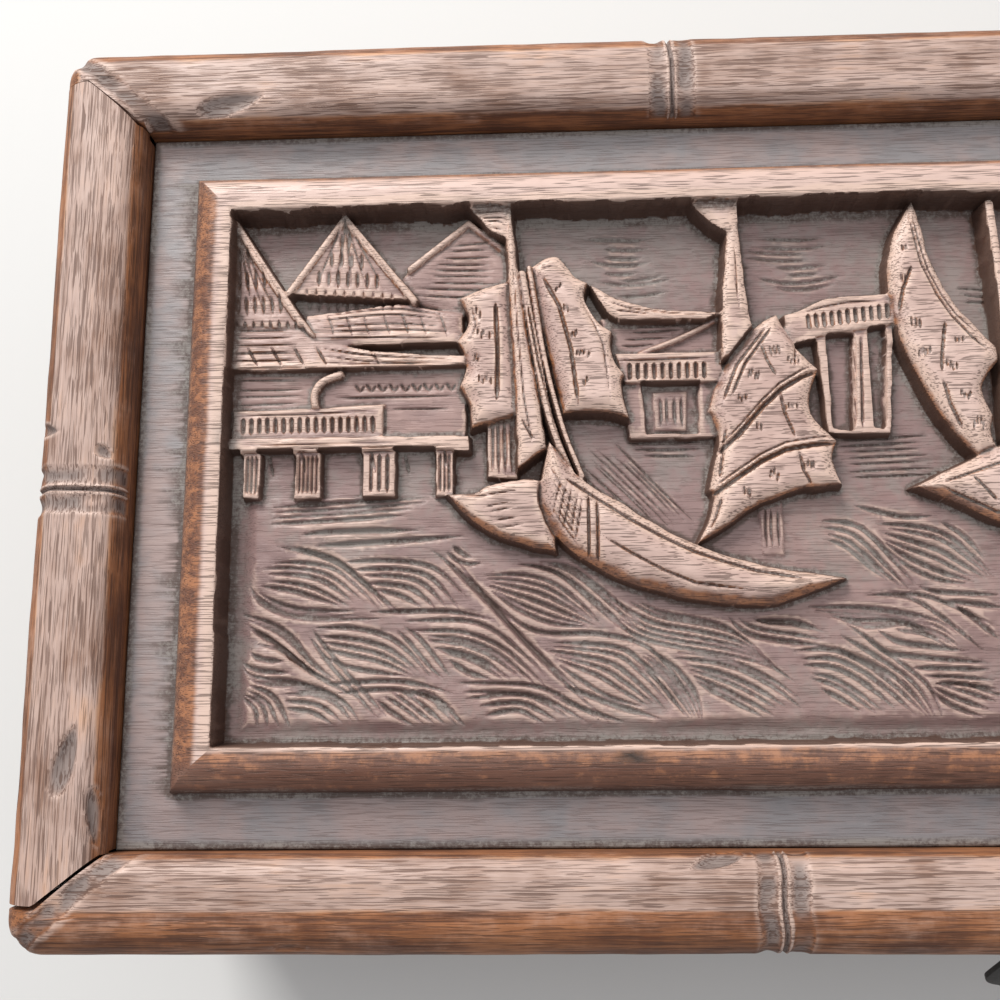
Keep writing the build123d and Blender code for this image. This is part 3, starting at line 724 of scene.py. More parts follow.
@dataclass
class Carver:
    """Cuts forms and strokes into a canvas, laid out by one eye point above the lid.

    Outlines are drawn on the sight plane and each is spread to its own level, so that they
    line up from the eye whatever their height.
    """

    canvas: Canvas
    shift: float = 0.0
    flip: bool = False
    eye: Triple = (-79.9, -40.4, 179.2)
    sight_level: float = 4.2
    seed: int = 1

    def __post_init__(self) -> None:
        """Start the carver's own unsteadiness of hand."""
        self.hand = np.random.default_rng(self.seed)
        self.ripple = Ripple(self.seed + 40)

    def placed(self, points: Sequence[Point], level: float) -> Grid:
        """Drawn points as places on the board at a level."""
        points = np.array(points, float)
        spread = (self.eye[2] - level) / (self.eye[2] - self.sight_level)
        points = np.array(self.eye[:2]) + (points - np.array(self.eye[:2])) * spread
        return points * (-1 if self.flip else 1, 1) + (self.shift, 0.0)

    def form(
        self,
        outline: Sequence[Point],
        level: float,
        lean: Point = (0.0, 0.0),
        crown: float = 0.5,
        width: float = 2.0,
        wall: float = 0.45,
        soot: float = 0.0,
        stain: float = 0.0,
    ) -> None:
        """Bring the area inside an outline to its own level, over what was there.

        Args:
            outline: the drawn outline.
            level: height above the recess floor at the outline's middle.
            lean: rise for each millimetre along x and y.
            crown: how far the surface falls towards its edge.
            width: how far in from the edge that fall reaches.
            wall: width that the side takes in plan.
            soot: how dark its foot is, with dust and painted shade.
            stain: how far in from its edge the stain shows; the band is stronger where the edge
                faces the front, as painted shade.
        """
        placed = self.placed(outline, level)
        found = self.canvas.window(placed, 3.0)
        if found is None:
            return
        cut, x, y = found
        inset = self.canvas.inset(x, y, placed) + 0.12 * self.ripple(x, y, 2.3, 1.7)
        middle = placed.mean(0)
        rise = lean[0] * (x - middle[0]) * (-1 if self.flip else 1)
        top = level + rise + lean[1] * (y - middle[1])
        top = top - crown * (1.0 - np.clip(inset / width, 0.0, 1.0)) ** 2
        top = top + 0.13 * self.ripple(x, y, 4.3, 2.3) + 0.02 * self.ripple(y, x, 1.2, 0.9)
        share = ease(inset / wall + 0.75)
        self.canvas.z[cut] += (top - self.canvas.z[cut]) * share
        # its edge band is stronger where it turns to the front: stain, partly painted shade under
        # the form
        front = np.clip(0.45 + 0.6 * np.gradient(inset, axis=0) / self.canvas.pitch, 0.25, 1.0)
        self.canvas.gouged[cut] *= 1.0 - share
        band = front * ease(1.0 - inset / stain) if stain else 0.0
        self.canvas.edge[cut] += (band - self.canvas.edge[cut]) * share
        if soot:
            foot = np.exp(-np.clip(-inset, 0.0, None) / 0.9) * (inset < 0)
            self.canvas.soot[cut] = np.maximum(self.canvas.soot[cut] * (1 - share), soot * foot)
        else:
            self.canvas.soot[cut] *= 1 - share

    def bar(self, line: Sequence[Point], width: float, level: float, crown: float = 0.35) -> None:
        """A raised strip along a line, as a rope, a post or a rail."""
        placed = self.placed(flow(*line), level)
        found = self.canvas.window(placed, width)
        if found is None:
            return
        cut, x, y = found
        distance, _ = self.canvas.reach(x, y, placed, False)
        inset = width / 2 - distance
        share = ease(inset / 0.4 + 0.6)
        top = level - crown * (1.0 - np.clip(inset / (width / 2), 0.0, 1.0)) ** 2
        self.canvas.z[cut] += (top - self.canvas.z[cut]) * share
        self.canvas.soot[cut] *= 1 - share

    def stroke(
        self,
        line: Sequence[Point],
        width: float = 0.8,
        depth: float = 0.55,
        level: float = 1.0,
        start: float = 0.25,
        end: float = 0.35,
    ) -> None:
        """One pass of a V-tool that enters and leaves the wood gently.

        Args:
            line: the drawn line.
            width: width of the cut at its deepest.
            depth: its depth there.
            level: level of the surface it is drawn on.
            start: share of the line over which it enters.
            end: share over which it leaves.
        """
        placed = self.placed(line, level)
        found = self.canvas.window(placed, width)
        if found is None:
            return
        cut, x, y = found
        distance, share = self.canvas.reach(x, y, placed, False)
        size = np.minimum(1.0, np.minimum(share / start + 0.12, (1.0 - share) / end + 0.08)) ** 0.7
        half = np.maximum(width * size / 2, 0.05)
        profile = size * np.clip(1.0 - (distance / half) ** 1.5, 0.0, 1.0)
        self.canvas.z[cut] -= depth * profile
        self.canvas.gouged[cut] = np.maximum(self.canvas.gouged[cut], profile)

    def fan(
        self,
        first: Sequence[Point],
        last: Sequence[Point],
        count: int,
        width: float = 0.8,
        depth: float = 0.55,
        level: float = 1.0,
        unsteady: float = 0.12,
        trim: float = 0.1,
    ) -> None:
        """Strokes spread between two boundary lines, by an unsteady hand.

        Args:
            first: the first stroke.
            last: the last stroke.
            count: how many there are.
            width: width of each cut.
            depth: depth of each cut.
            level: level of the surface.
            unsteady: how far a stroke strays, in millimetres.
            trim: the most that an end is shortened, as a share of the stroke.
        """
        length = max(math.dist(first[0], first[-1]), math.dist(last[0], last[-1]))
        number = max(4, int(length / 1.3))
        a, b = resample(flow(*first), number), resample(flow(*last), number)
        for index in range(count):
            share = index / max(count - 1, 1)
            line = a * (1 - share) + b * share + self.hand.normal(0.0, unsteady, 2)
            sway = self.hand.normal(0.0, unsteady) * np.sin(np.linspace(0, math.pi, number))
            line = line + sway[:, None]
            low = int(self.hand.uniform(0, trim) * number)
            high = number - int(self.hand.uniform(0, trim) * number)
            size = self.hand.uniform(0.85, 1.15)
            self.stroke(line[low:high], width * size, depth * size, level)


# bundles of strokes in the water: how many, the first stroke and the last
WATER = (
    (4, ((-124.6, -6.6), (-116, -6.2), (-97, -5.2)), ((-124.6, -9.6), (-110, -8.8), (-100, -8.3))),
    (2, ((-119.5, -11.6), (-113, -10.9), (-98, -10.8)), ((-117, -13.3), (-104, -12.6), (-92, -12))),
    (3, ((-123.8, -12.7), (-114, -15.4), (-108, -20), (-104, -24)),
     ((-120, -12.9), (-113, -15.2), (-109, -18), (-102, -24.2))),
    (5, ((-124.6, -16), (-119, -15.6), (-113, -16.6), (-109, -19.6), (-105.4, -23.6)),
     ((-124.6, -19.7), (-120, -20.4), (-116, -21.6), (-112, -22.9))),
    (3, ((-125.8, -19.6), (-123.4, -21.4), (-118, -23.1), (-108, -23.6)),
     ((-126.4, -19.8), (-124.6, -22.6), (-118, -25.0), (-105, -25.2))),
    (4, ((-127.6, -24), (-123, -25.6), (-119.6, -28), (-116.5, -31.6), (-112, -34.8)),
     ((-126.4, -26.4), (-122, -29), (-118, -32), (-114.4, -34.6))),
    (2, ((-124.8, -29), (-121, -29.8), (-117, -32.6), (-109, -37.4)),
     ((-126.2, -30.2), (-124.6, -31.2), (-120.8, -31.6))),
    (3, ((-127.4, -32.1), (-124.4, -33.4), (-119, -33.6)),
     ((-126.8, -33), (-124.6, -34.9), (-115, -35.8), (-109.4, -39))),
    (4, ((-126, -35.4), (-122, -37.4), (-119.4, -42)),
     ((-127, -37.6), (-125, -39.4), (-124.6, -42))),
    (4, ((-120, -35.8), (-114.6, -36.2), (-110.6, -38), (-108, -41)),
     ((-120, -39), (-115.6, -39.4), (-112.4, -41.6))),
    (5, ((-117, -26.6), (-110, -26.6), (-104, -28), (-100, -31), (-97, -34.6)),
     ((-115.4, -30.2), (-111, -32.4), (-106, -33.4), (-101, -34))),
    (2, ((-117.4, -26.6), (-112.8, -32.4), (-105.6, -40.4)),
     ((-116.2, -26.8), (-111.4, -32.6), (-104, -40.6))),
    (2, ((-114, -35.4), (-102, -35.1), (-92, -37.4)), ((-112, -36.6), (-103, -36.3), (-94, -38.6))),
    (5, ((-112, -16), (-104, -15.6), (-97.4, -16.6), (-93.6, -19.6), (-90.6, -23.6)),
     ((-106.6, -20.4), (-102, -21.4), (-98.6, -23.4))),
    (2, ((-108, -23.9), (-95, -23.7), (-87, -25.4)),
     ((-103, -25.4), (-90, -25.6), (-82, -31.2), (-79, -34.6))),
    (6, ((-100, -26.9), (-92, -27), (-86, -29.2), (-81.6, -33), (-79, -35.8)),
     ((-94.4, -31.4), (-91, -33.4), (-87.4, -34.8))),
    (2, ((-101.6, -26.4), (-99, -28.4), (-94, -34.6)),
     ((-102.8, -26.8), (-100, -29), (-95.4, -34.6))),
    (5, ((-95, -35.4), (-88, -35.5), (-81, -36), (-76, -38), (-70.6, -41.4)),
     ((-88.6, -40.2), (-84, -39.5), (-81, -40.7), (-79, -41.7))),
    (6, ((-99.6, -35.8), (-96, -37.6), (-91.6, -41.8)),
     ((-105.6, -37.8), (-103, -39.6), (-100, -41.6))),
    (2, ((-100, -13.8), (-96, -15), (-88, -22.8), (-81, -30.4), (-73, -38.4), (-69.6, -41)),
     ((-95.6, -15.4), (-91, -19.2), (-83, -27.8), (-75.4, -35.4), (-71, -39))),
    (1, ((-94.6, -14), (-88.6, -21.6), (-81, -27.4), (-70, -28.2), (-62, -31), (-54.6, -41)), ()),
    (2, ((-93.8, -13.4), (-92, -15), (-90.6, -15.4)),
     ((-94.6, -14.4), (-92, -16.2), (-88.6, -16.4))),
    (6, ((-90, -18.2), (-83, -17.9), (-77.6, -19.2), (-73, -22.8), (-69.8, -26.4)),
     ((-87.4, -21), (-83, -24.2), (-78, -26.2), (-72, -26.8))),
    (4, ((-80, -16.2), (-75, -17.2), (-70.6, -20.4), (-62, -28)),
     ((-84, -16.6), (-79, -17.4), (-74.6, -20), (-66.4, -28))),
    (6, ((-80, -29), (-68, -30), (-64, -32.4), (-60, -37), (-57.6, -40.6)),
     ((-77.6, -32), (-73, -34.6), (-69, -37), (-64, -39))),
    (2, ((-76, -35.8), (-68, -39), (-61, -41)), ((-78, -37.6), (-72, -40), (-67, -41.6))),
    (6, ((-66, -21.8), (-61, -24.6), (-55, -25.8), (-50, -27.4), (-45.6, -31)),
     ((-70, -24.2), (-65.4, -27.8), (-60, -29.6), (-46, -32.4), (-40, -36))),
    (6, ((-59.6, -31), (-54, -31.4), (-48.6, -32.6), (-43, -35.6), (-38, -39.6)),
     ((-56, -35), (-52, -37.6), (-45, -41.2))),
    (5, ((-62.6, -30.4), (-58.6, -33.4), (-55.8, -37), (-54.8, -41)),
     ((-65, -32.6), (-61.4, -35.4), (-57, -41))),
    (4, ((-46, -25.6), (-40, -25.8), (-36, -27)), ((-50, -25.4), (-46.6, -28.2), (-35, -30.2))),
    (6, ((-40, -30.8), (-34.6, -30.6), (-30, -32.4), (-25.4, -35.8), (-20.4, -40.8)),
     ((-37, -36.6), (-33.6, -38.4), (-30, -40.8))),
    (5, ((-37.6, -24), (-26, -24.6), (-17.6, -26.6), (-14, -29.6)),
     ((-33.6, -25.6), (-28.6, -27), (-22, -27), (-14.6, -31.6))),
    (3, ((-30, -22.4), (-23, -22.3), (-18.4, -24.6), (-9.6, -32.4)),
     ((-20.4, -20.4), (-17.6, -21.8), (-7, -22.6))),
    (3, ((-32, -26.6), (-28, -29.6), (-20.4, -36), (-18.4, -41)),
     ((-33.6, -30.4), (-24.6, -35.4), (-20, -41))),
    (3, ((-24.4, -27.8), (-21, -28.6), (-17.4, -29.4)),
     ((-30, -27.8), (-26, -31), (-20, -32), (-10, -33))),
    (3, ((-22, -33.6), (-16, -33.8), (-10, -34)), ((-19, -36), (-14, -36.2), (-9, -37.2))),
    (4, ((-18.4, -35.6), (-13.6, -36.2), (-8, -38.2)),
     ((-19.4, -37.4), (-16.4, -39.6), (-12, -41.3))),
    (4, ((-34.6, -10.4), (-30, -11), (-26.6, -13.6), (-19.6, -22)),
     ((-35, -13), (-31, -14.4), (-27.4, -17.6), (-24, -20.6))),
    (6, ((-26, -10.8), (-20, -11.2), (-15, -12.6), (-10.6, -16.4), (-8, -19.6)),
     ((-24.4, -15), (-21, -18), (-16.6, -20), (-12, -20.8))),
    (2, ((-29.4, -7.8), (-22, -9.8), (-17, -9.6)), ((-16, -10.4), (-12.6, -13), (-9.6, -16.4))),
    (2, ((-16.6, -23.2), (-12, -23.6), (-7, -24.4)), ((-14.6, -24), (-11.6, -26.4), (-8.4, -29.4))),
)


@dataclass
class Picture(Carver):
    """The harbour scene: stilt houses, junks under sail, a landing and running water."""

    water_width: float = 1.2
    water_depth: float = 0.68

    def _gable(self, apex: Point, left: Point, right: Point, level: float, bars: int) -> None:
        """A gable end with barge boards and cross-hatched boarding."""
        self.form((left, apex, right), level, crown=0.1, wall=0.5)
        self.bar((apex, left), 1.3, level + 0.6)
        self.bar((apex, right), 1.4, level + 0.75)
        foot = ((left[0] + apex[0]) / 2, left[1] + 1)
        for share in np.linspace(0.2, 0.92, 4):
            row = [
                (apex[0] + (low[0] - apex[0]) * share * 0.9, apex[1] + (low[1] - apex[1]) * share)
                for low in (left, right)
            ]
            tip = [(x, y - 3.2) for x, y in row]
            count = max(2, int(bars * share))
            pegs = (np.linspace(*ends, count + 2)[1:-1] for ends in (row, tip))
            for top, base in zip(*pegs):
                self.stroke((tuple(top), tuple(base)), 0.75, 0.5, level)
        self.fan((apex, foot), (apex, (right[0] - 1.5, right[1] + 0.5)), 6, 0.5, 0.3, level)

    def houses(self) -> None:
        """Stilt houses at the end of the harbour."""
        # far house, seen end on behind the first sail
        self.form(ring(((-91, 42.5), (-101, 34), (-104, 29.4)), ((-92, 25.5),), ((-84, 27),),
            ((-84, 36.5), (-91, 42.5))), 2.0)
        self.bar(((-91, 42.3), (-101, 34.2)), 1.2, 2.7)
        self.bar(((-91, 42.3), (-84.5, 36.8)), 1.2, 2.7)
        self.fan(((-94, 38.2), (-87, 38.6)), ((-101, 29.5), (-85, 28.5)), 9, 0.55, 0.4, 2.0)
        # middle house: gable, tiled roof and its eave
        self.form(((-118.6, 26.4), (-103, 28.3), (-92, 26.3), (-92, 21), (-119, 20.6)), 2.7,
            lean=(0, -0.14))
        self._gable((-112.3, 43.8), (-121.8, 30.2), (-100.3, 28.6), 2.7, 11)
        self.fan(((-118, 26.0), (-104, 27.4), (-92, 25.4)), ((-117, 22.1), (-104, 21.9),
            (-92, 21.6)), 5, 0.5, 0.4, 2.7)
        self.fan(((-115, 26.5), (-113.6, 22.2)), ((-96, 26.2), (-94.6, 21.8)), 7, 0.5, 0.3, 2.7)
        # near house: gable cut by the frame, long lattice roof with a lifted eave
        self.form(((-131.6, 44), (-125, 33.6), (-118, 22.8), (-131.6, 23.6)), 3.1, crown=0.1)
        self.bar(((-131.2, 43.2), (-124.8, 33.2), (-117.8, 22.6)), 1.5, 3.9)
        for share in (0.25, 0.5, 0.75, 1.0):
            base = 43 - 18 * share
            for x in np.arange(-130.4, -131 + 12 * share, 1.45):
                self.stroke(((x, base + 0.6), (x + 0.35, base - 3.1)), 0.7, 0.5, 3.1)
        self.fan(((-130.5, 40), (-130, 26)), ((-130.5, 42), (-120.5, 25.5)), 5, 0.45, 0.3, 3.1)
        roof = ring(((-131.6, 24.6), (-119, 24.2)), ((-116.5, 22.1), (-106, 19.9), (-91.5, 18.7)),
            ((-91.5, 16.3),), ((-105, 16.5), (-114, 16.1), (-131.6, 16.0)))
        self.form(roof, 3.7, lean=(0, -0.12), crown=0.25, soot=0.7)
        self.fan(((-131, 24.0), (-121, 23.9)), ((-131, 17.0), (-118, 17.1)), 6, 0.5, 0.42, 3.5,
            0.05, 0.02)
        self.fan(((-117, 20.8), (-107, 18.9), (-92, 18.0)), ((-117, 17.6), (-107, 17.2),
            (-92, 17.0)), 3, 0.5, 0.4, 3.7)
        for x in (-128.4, -124.4, -120.6, -116.8, -108):
            self.stroke(((x, 20.9), (x + 2.2, 17.0)), 0.6, 0.45, 3.5)
        # wall under the eave, its bracket, and the row of dog-teeth
        self.form(((-131.6, 16.0), (-91.5, 16.2), (-91.5, 4.6), (-131.6, 4.6)), 1.7, crown=0.0)
        self.bar(((-112.6, 15.9), (-115.6, 14.6), (-116.9, 12.4), (-116.5, 9.6)), 1.3, 3.2)
        self.fan(((-130.5, 14.8), (-118.5, 14.6)), ((-130.5, 10.6), (-118.5, 10.8)), 4, 0.5, 0.35,
            1.7)
        for x in np.arange(-110, -93.5, 1.9):
            self.stroke(((x, 14.0), (x + 0.9, 12.5)), 0.7, 0.5, 1.7)
            self.stroke(((x + 0.9, 12.5), (x + 1.7, 13.8)), 0.6, 0.4, 1.7)
        self.stroke(((-114, 11.6), (-93, 11.7)), 0.6, 0.45, 1.7)
        self.stroke(((-104.5, 9.6), (-93, 9.4)), 0.5, 0.35, 1.7)
        # veranda: rail, balusters and the walkway slab
        self.form(((-130.2, 9.6), (-118, 9.9), (-105.1, 10.4), (-105.1, 4.4), (-130.2, 4.2)), 2.7,
            crown=0.12, soot=0.5)
        self.stroke(((-129.5, 8.9), (-117, 9.0), (-105.6, 9.5)), 0.45, 0.35, 2.7)
        for x in np.arange(-128.6, -106, 1.35):
            self.stroke(((x, 8.5), (x + 0.1, 5.6)), 0.85, 0.7, 2.7, 0.15, 0.2)
        self.stroke(((-105.1, 10.6), (-105.1, 3.4)), 0.6, 0.9, 2.7)
        self.form(((-131.6, 4.9), (-91, 5.0), (-91, 2.4), (-131.6, 2.3)), 3.2, crown=0.15, soot=0.8)
        self.fan(((-130, 4.0), (-93, 4.2)), ((-128, 3.2), (-92, 3.3)), 2, 0.4, 0.3, 3.2)
        # openings between the stilts
        for left, right in ((-131.6, -128.4), (-125.3, -119.8), (-115.4, -108.6), (-102.9, -96.6)):
            self.form(((left, 2.2), (right, 2.2), (right, -5.2), (left, -5.2)), 0.25, crown=0,
                wall=0.5)
        for left, right, posts in ((-128.3, -125.5, 2), (-119.7, -115.5, 3), (-108.5, -103.1, 2),
            (-96.5, -93.6, 2)):
            self.form(((left, 2.4), (right, 2.4), (right, -5.2), (left, -5.2)), 2.4, crown=0.2)
            for x in np.linspace(left, right, posts * 2 + 1)[1:-1]:
                self.stroke(((x, 2.0), (x, -4.6)), 0.75, 0.75, 2.4, 0.1, 0.15)
        for x in (-124.6, -118.8, -107.2, -101.9, -95.2):
            self.stroke(((x, 2.6), (x + 0.9, -1.4)), 0.7, 0.5, 2.4)

    def pavilion(self) -> None:
        """Landing pavilion with a swept roof, a balustrade and a dark doorway."""
        self.form(((-69, 24.6), (-49, 24.4), (-48.8, 12.9), (-66.5, 13.2)), 1.5, crown=0.0)
        self.form(ring(((-70.6, 31), (-66, 28.4), (-62, 26.9), (-58, 26.1), (-48.4, 25.6)),
            ((-48.4, 24.2),), ((-60, 24.4), (-67, 25), (-70.6, 31))), 4.0, lean=(0, -0.1), soot=0.9)
        self.stroke(((-68.6, 28), (-64, 26.4), (-57, 25.3), (-50, 24.9)), 0.5, 0.4, 4.0)
        self.stroke(((-67, 26.2), (-60, 25.1)), 0.5, 0.35, 4.0)
        self.bar(((-62.5, 18.4), (-56, 20.9), (-49.8, 24.0)), 0.9, 2.3)
        self.fan(((-63.5, 22.8), (-52, 23.4)), ((-66, 19.6), (-60, 19.8)), 4, 0.5, 0.35, 1.5)
        self.form(((-66.6, 18.4), (-49.2, 18.5), (-49.2, 12.8), (-65.2, 12.8)), 2.7, crown=0.1)
        self.stroke(((-66.2, 17.2), (-49.4, 17.4)), 0.5, 0.45, 2.7)
        for x in np.arange(-64.4, -51, 1.36):
            self.stroke(((x, 16.7), (x, 13.8)), 0.85, 0.75, 2.7, 0.12, 0.15)
        self.stroke(((-65.5, 13.2), (-49.5, 13.1)), 0.45, 0.35, 2.7)
        self.form(((-66, 12.9), (-49, 12.9), (-50.2, 3.9), (-64.6, 3.9)), 1.7, crown=0.1)
        self.form(((-62.5, 12.6), (-53.5, 12.6), (-53.8, 4.4), (-62, 4.4)), 0.25, crown=0, wall=0.5)
        self.form(((-60.8, 11.6), (-55.3, 11.6), (-55.6, 5.2), (-60.5, 5.2)), 0.9, crown=0.1)
        self.fan(((-59.6, 10.8), (-59.6, 5.6)), ((-56.2, 10.8), (-56.2, 5.6)), 4, 0.7, 0.5, 0.9)
        self.fan(((-65, 3.2), (-52, 3.4)), ((-63, 1.2), (-54, 1.0)), 3, 0.6, 0.45, 0.8)

    def landing(self) -> None:
        """Raised landing with a balustrade over dark openings."""
        self.form(ring(((-38.5, 24.6), (-36, 25.3), (-33, 26.8), (-30, 27.6), (-19.5, 28)),
            ((-19.5, 22.6),), ((-25, 21.8), (-30, 21.0), (-38.5, 19.4))), 2.9, crown=0.15, soot=0.5)
        for index, x in enumerate(np.arange(-34.6, -20.6, 1.3)):
            top = 24.6 + 0.16 * index
            self.stroke(((x, top), (x + 0.1, top - 2.7)), 0.85, 0.75, 2.9, 0.12, 0.15)
        self.stroke(((-36.5, 24.6), (-32, 25.9), (-28, 26.6), (-20, 26.9)), 0.45, 0.35, 2.9)
        self.form(((-33.5, 20.4), (-20.8, 22.4), (-22.4, 3.9), (-32.6, 4.2)), 2.3, crown=0.1)
        self.form(((-32.2, 20), (-28.2, 20.2), (-29.3, 4.4), (-32, 4.8)), 0.3, crown=0, wall=0.5)
        self.form(((-25.4, 21.1), (-22.9, 21.4), (-24.2, 4.6), (-25.5, 4.8)), 0.3, crown=0,
            wall=0.5)
        for line in (((-27.2, 20.4), (-28.1, 5)), ((-26.2, 20.6), (-27, 5)), ((-22.2, 21),
            (-23.2, 5.4))):
            self.stroke(line, 0.6, 0.5, 2.3, 0.08, 0.1)
        self.fan(((-31, 3.2), (-16, 3.8)), ((-30, -3.2), (-15.5, -2.8)), 7, 0.6, 0.42, 0.7)

    def _ticks(self, places: Sequence[Point], level: float) -> None:
        """Patches of short slanting cuts that shade a sail, each a little different."""
        for x, y in places:
            lean, reach = self.hand.uniform(-0.5, 0.2), self.hand.uniform(0.7, 1.3)
            for index in range(int(self.hand.integers(2, 5))):
                left = x + 0.55 * index * self.hand.uniform(0.8, 1.2)
                top = y + self.hand.uniform(-0.5, 0.5)
                self.stroke(((left, top), (left + lean, top - 1.6 * reach)), 0.5, 0.38, level)

    def two_sail_junk(self) -> None:
        """Junk with two scalloped lug sails, a tall mast and a long plain hull."""
        # fore sail, right of the mast
        self.form(ring(((-80.6, 34.6), (-77.5, 36.3), (-75.8, 36.2)), ((-73, 32.6), (-70.9, 31.3)),
            ((-71.4, 28.3), (-69.4, 24.6), (-67, 22.5)), ((-67.3, 19.4), (-66.6, 17),
            (-65.3, 15.1)), ((-65.7, 12), (-64.6, 7.3)), ((-69, 8.6), (-75.4, 8.5)), ((-78, 20),
            (-80.6, 34.6))), 4.5, lean=(0.06, 0), crown=1.1, width=2.6, soot=1.0, stain=1.1)
        self.stroke(((-78.6, 32.6), (-75.8, 27), (-74, 19.5), (-73, 9.8)), 0.8, 0.6, 4.5, 0.1, 0.1)
        self.stroke(((-79, 34), (-76, 34.6)), 0.45, 0.3, 4.5)
        self.stroke(((-73.3, 31), (-70.4, 24.8), (-68.6, 20), (-67.6, 9.4)), 0.5, 0.3, 4.5)
        self._ticks(((-76, 31), (-75, 27.2), (-73.6, 23), (-72.8, 19), (-72, 14.6)), 4.5)
        # main sail, left of the mast
        self.form(((-88, 8.6), (-83.2, 8.6), (-83, -2.6), (-88, -2.2)), 2.4, crown=0.2)
        self.fan(((-87.2, 7), (-87.2, -1.6)), ((-84.2, 7), (-84, -2)), 4, 0.8, 0.6, 2.4, 0.05, 0.05)
        self.form(ring(((-84.4, 31.8), (-88.5, 30.8), (-92.4, 29.2)), ((-91.2, 25), (-92.9, 21.3)),
            ((-91.4, 17.6), (-92.5, 13.6)), ((-91, 10), (-90.8, 6.2)), ((-87, 7.4), (-82.8, 8.4)),
            ((-83.4, 20), (-84.4, 31.8))), 4.5, lean=(0.05, 0), crown=1.1, width=2.6, soot=1.0,
            stain=1.1)
        self.stroke(((-86.5, 27.8), (-86.2, 19), (-86.4, 10.6)), 0.9, 0.7, 4.5, 0.08, 0.12)
        self.stroke(((-90.6, 27.4), (-89.9, 24), (-91, 21.2)), 0.45, 0.3, 4.5)
        self._ticks(((-89.7, 27), (-89.5, 23.2), (-89.8, 19), (-89.3, 15)), 4.5)
        # stays and mast
        self.bar(((-80.8, 34), (-78.4, 18), (-75.6, 6), (-72.6, -2.2)), 1.1, 4.4)
        self.bar(((-82, 33), (-80, 20), (-77.8, 8), (-74.6, -1.4)), 1.5, 4.9)
        self.stroke(((-81.2, 28), (-79.4, 17), (-76.8, 6), (-73.8, -1.5)), 0.5, 0.6, 4.7, 0.1, 0.1)
        self.form(strip(((-84.9, 45.2), (-84.2, 30), (-83.8, 20), (-83.3, 9), (-83.2, -1)),
            ((-83.7, 45.2), (-82.2, 30), (-80.8, 20), (-79.1, 9), (-78.3, 2.6))), 5.2, crown=0.7,
            width=1.2, soot=0.9, stain=0.7)
        self.stroke(((-83.5, 35), (-82.9, 24), (-81.9, 11), (-80.6, 3)), 0.45, 0.3, 5.2, 0.1, 0.1)
        self.stroke(((-82.6, 8), (-80.6, 4.2), (-79.6, 4.6)), 0.5, 0.4, 5.2)
        self.form(ring(((-91.6, 46), (-89, 42.8), (-86.8, 40.6), (-84.4, 39.6)), ((-83.8, 46),),
            ((-91.6, 46),)), 4.9, crown=0.3, soot=0.8)
        self.fan(((-89.6, 44), (-84.6, 44.2)), ((-87.4, 41.6), (-84.8, 41)), 4, 0.45, 0.3, 4.9)
        # stern, then the hull that sweeps up to its bow
        self.form(ring(((-95, -4.7), (-90.2, -4.7), (-88, -3.5), (-81.5, -2.4)), ((-78, -3),),
            ((-77, -14.6),), ((-84.5, -12.6), (-90.4, -9.6), (-95, -4.7))), 5.0, lean=(0, 0.08),
            crown=0.9, soot=1.0, stain=2.0)
        self.stroke(((-92.6, -5.3), (-88.5, -5.2), (-82, -4.3)), 0.45, 0.35, 5.0)
        self.fan(((-89, -7.2), (-84, -6.4)), ((-86, -10.4), (-82, -9.8)), 4, 0.45, 0.3, 5.0)
        self.fan(((-75.5, 1.5), (-70, -4), (-62, -12)), ((-69, 5), (-62, -2), (-53.5, -12)), 9, 0.5,
            0.4, 0.8, 0.2, 0.25)
        hull = ring(((-77.9, 4), (-79.6, -4), (-79.2, -8), (-77.2, -11.6), (-74, -14.8),
            (-70, -17.4), (-65, -19.8), (-58, -21.8), (-52, -22.8), (-46, -23.4), (-42, -23.2),
            (-38, -22), (-30.4, -19.2)), ((-36, -18.4), (-41, -17.6), (-45, -16.6), (-50, -15.2),
            (-55, -13.2), (-60, -10.6), (-66, -6.7), (-72.6, -2.5), (-77.9, 4)))
        self.form(hull, 5.3, lean=(0.0, 0.045), crown=1.8, width=4.2, wall=0.5, soot=1.0, stain=2.6)
        self.stroke(((-75.4, -2.6), (-70, -6.2), (-65, -9.5), (-60, -12.3), (-55, -14.8),
            (-50, -16.5), (-45, -18), (-37, -19.4)), 0.75, 0.6, 5.0, 0.05, 0.1)
        self.stroke(((-69.6, -12.2), (-65, -15), (-60, -17.8), (-55, -19.9), (-45, -21.3)), 0.6,
            0.4, 5.0, 0.1, 0.3)
        self.stroke(((-71.7, -5.6), (-71.8, -15.8)), 0.6, 0.5, 5.0, 0.08, 0.1)
        self.stroke(((-70.3, -6.4), (-70.4, -16.4)), 0.6, 0.5, 5.0, 0.08, 0.1)
        self.fan(((-78, 0), (-72.4, -8.6)), ((-77.8, -7.6), (-73, -14.4)), 7, 0.45, 0.32, 5.0, 0.12,
            0.2)
        self.fan(((-77.6, -9), (-75.6, -1.6)), ((-74, -13), (-72.6, -5.4)), 5, 0.45, 0.3, 5.0, 0.12,
            0.2)

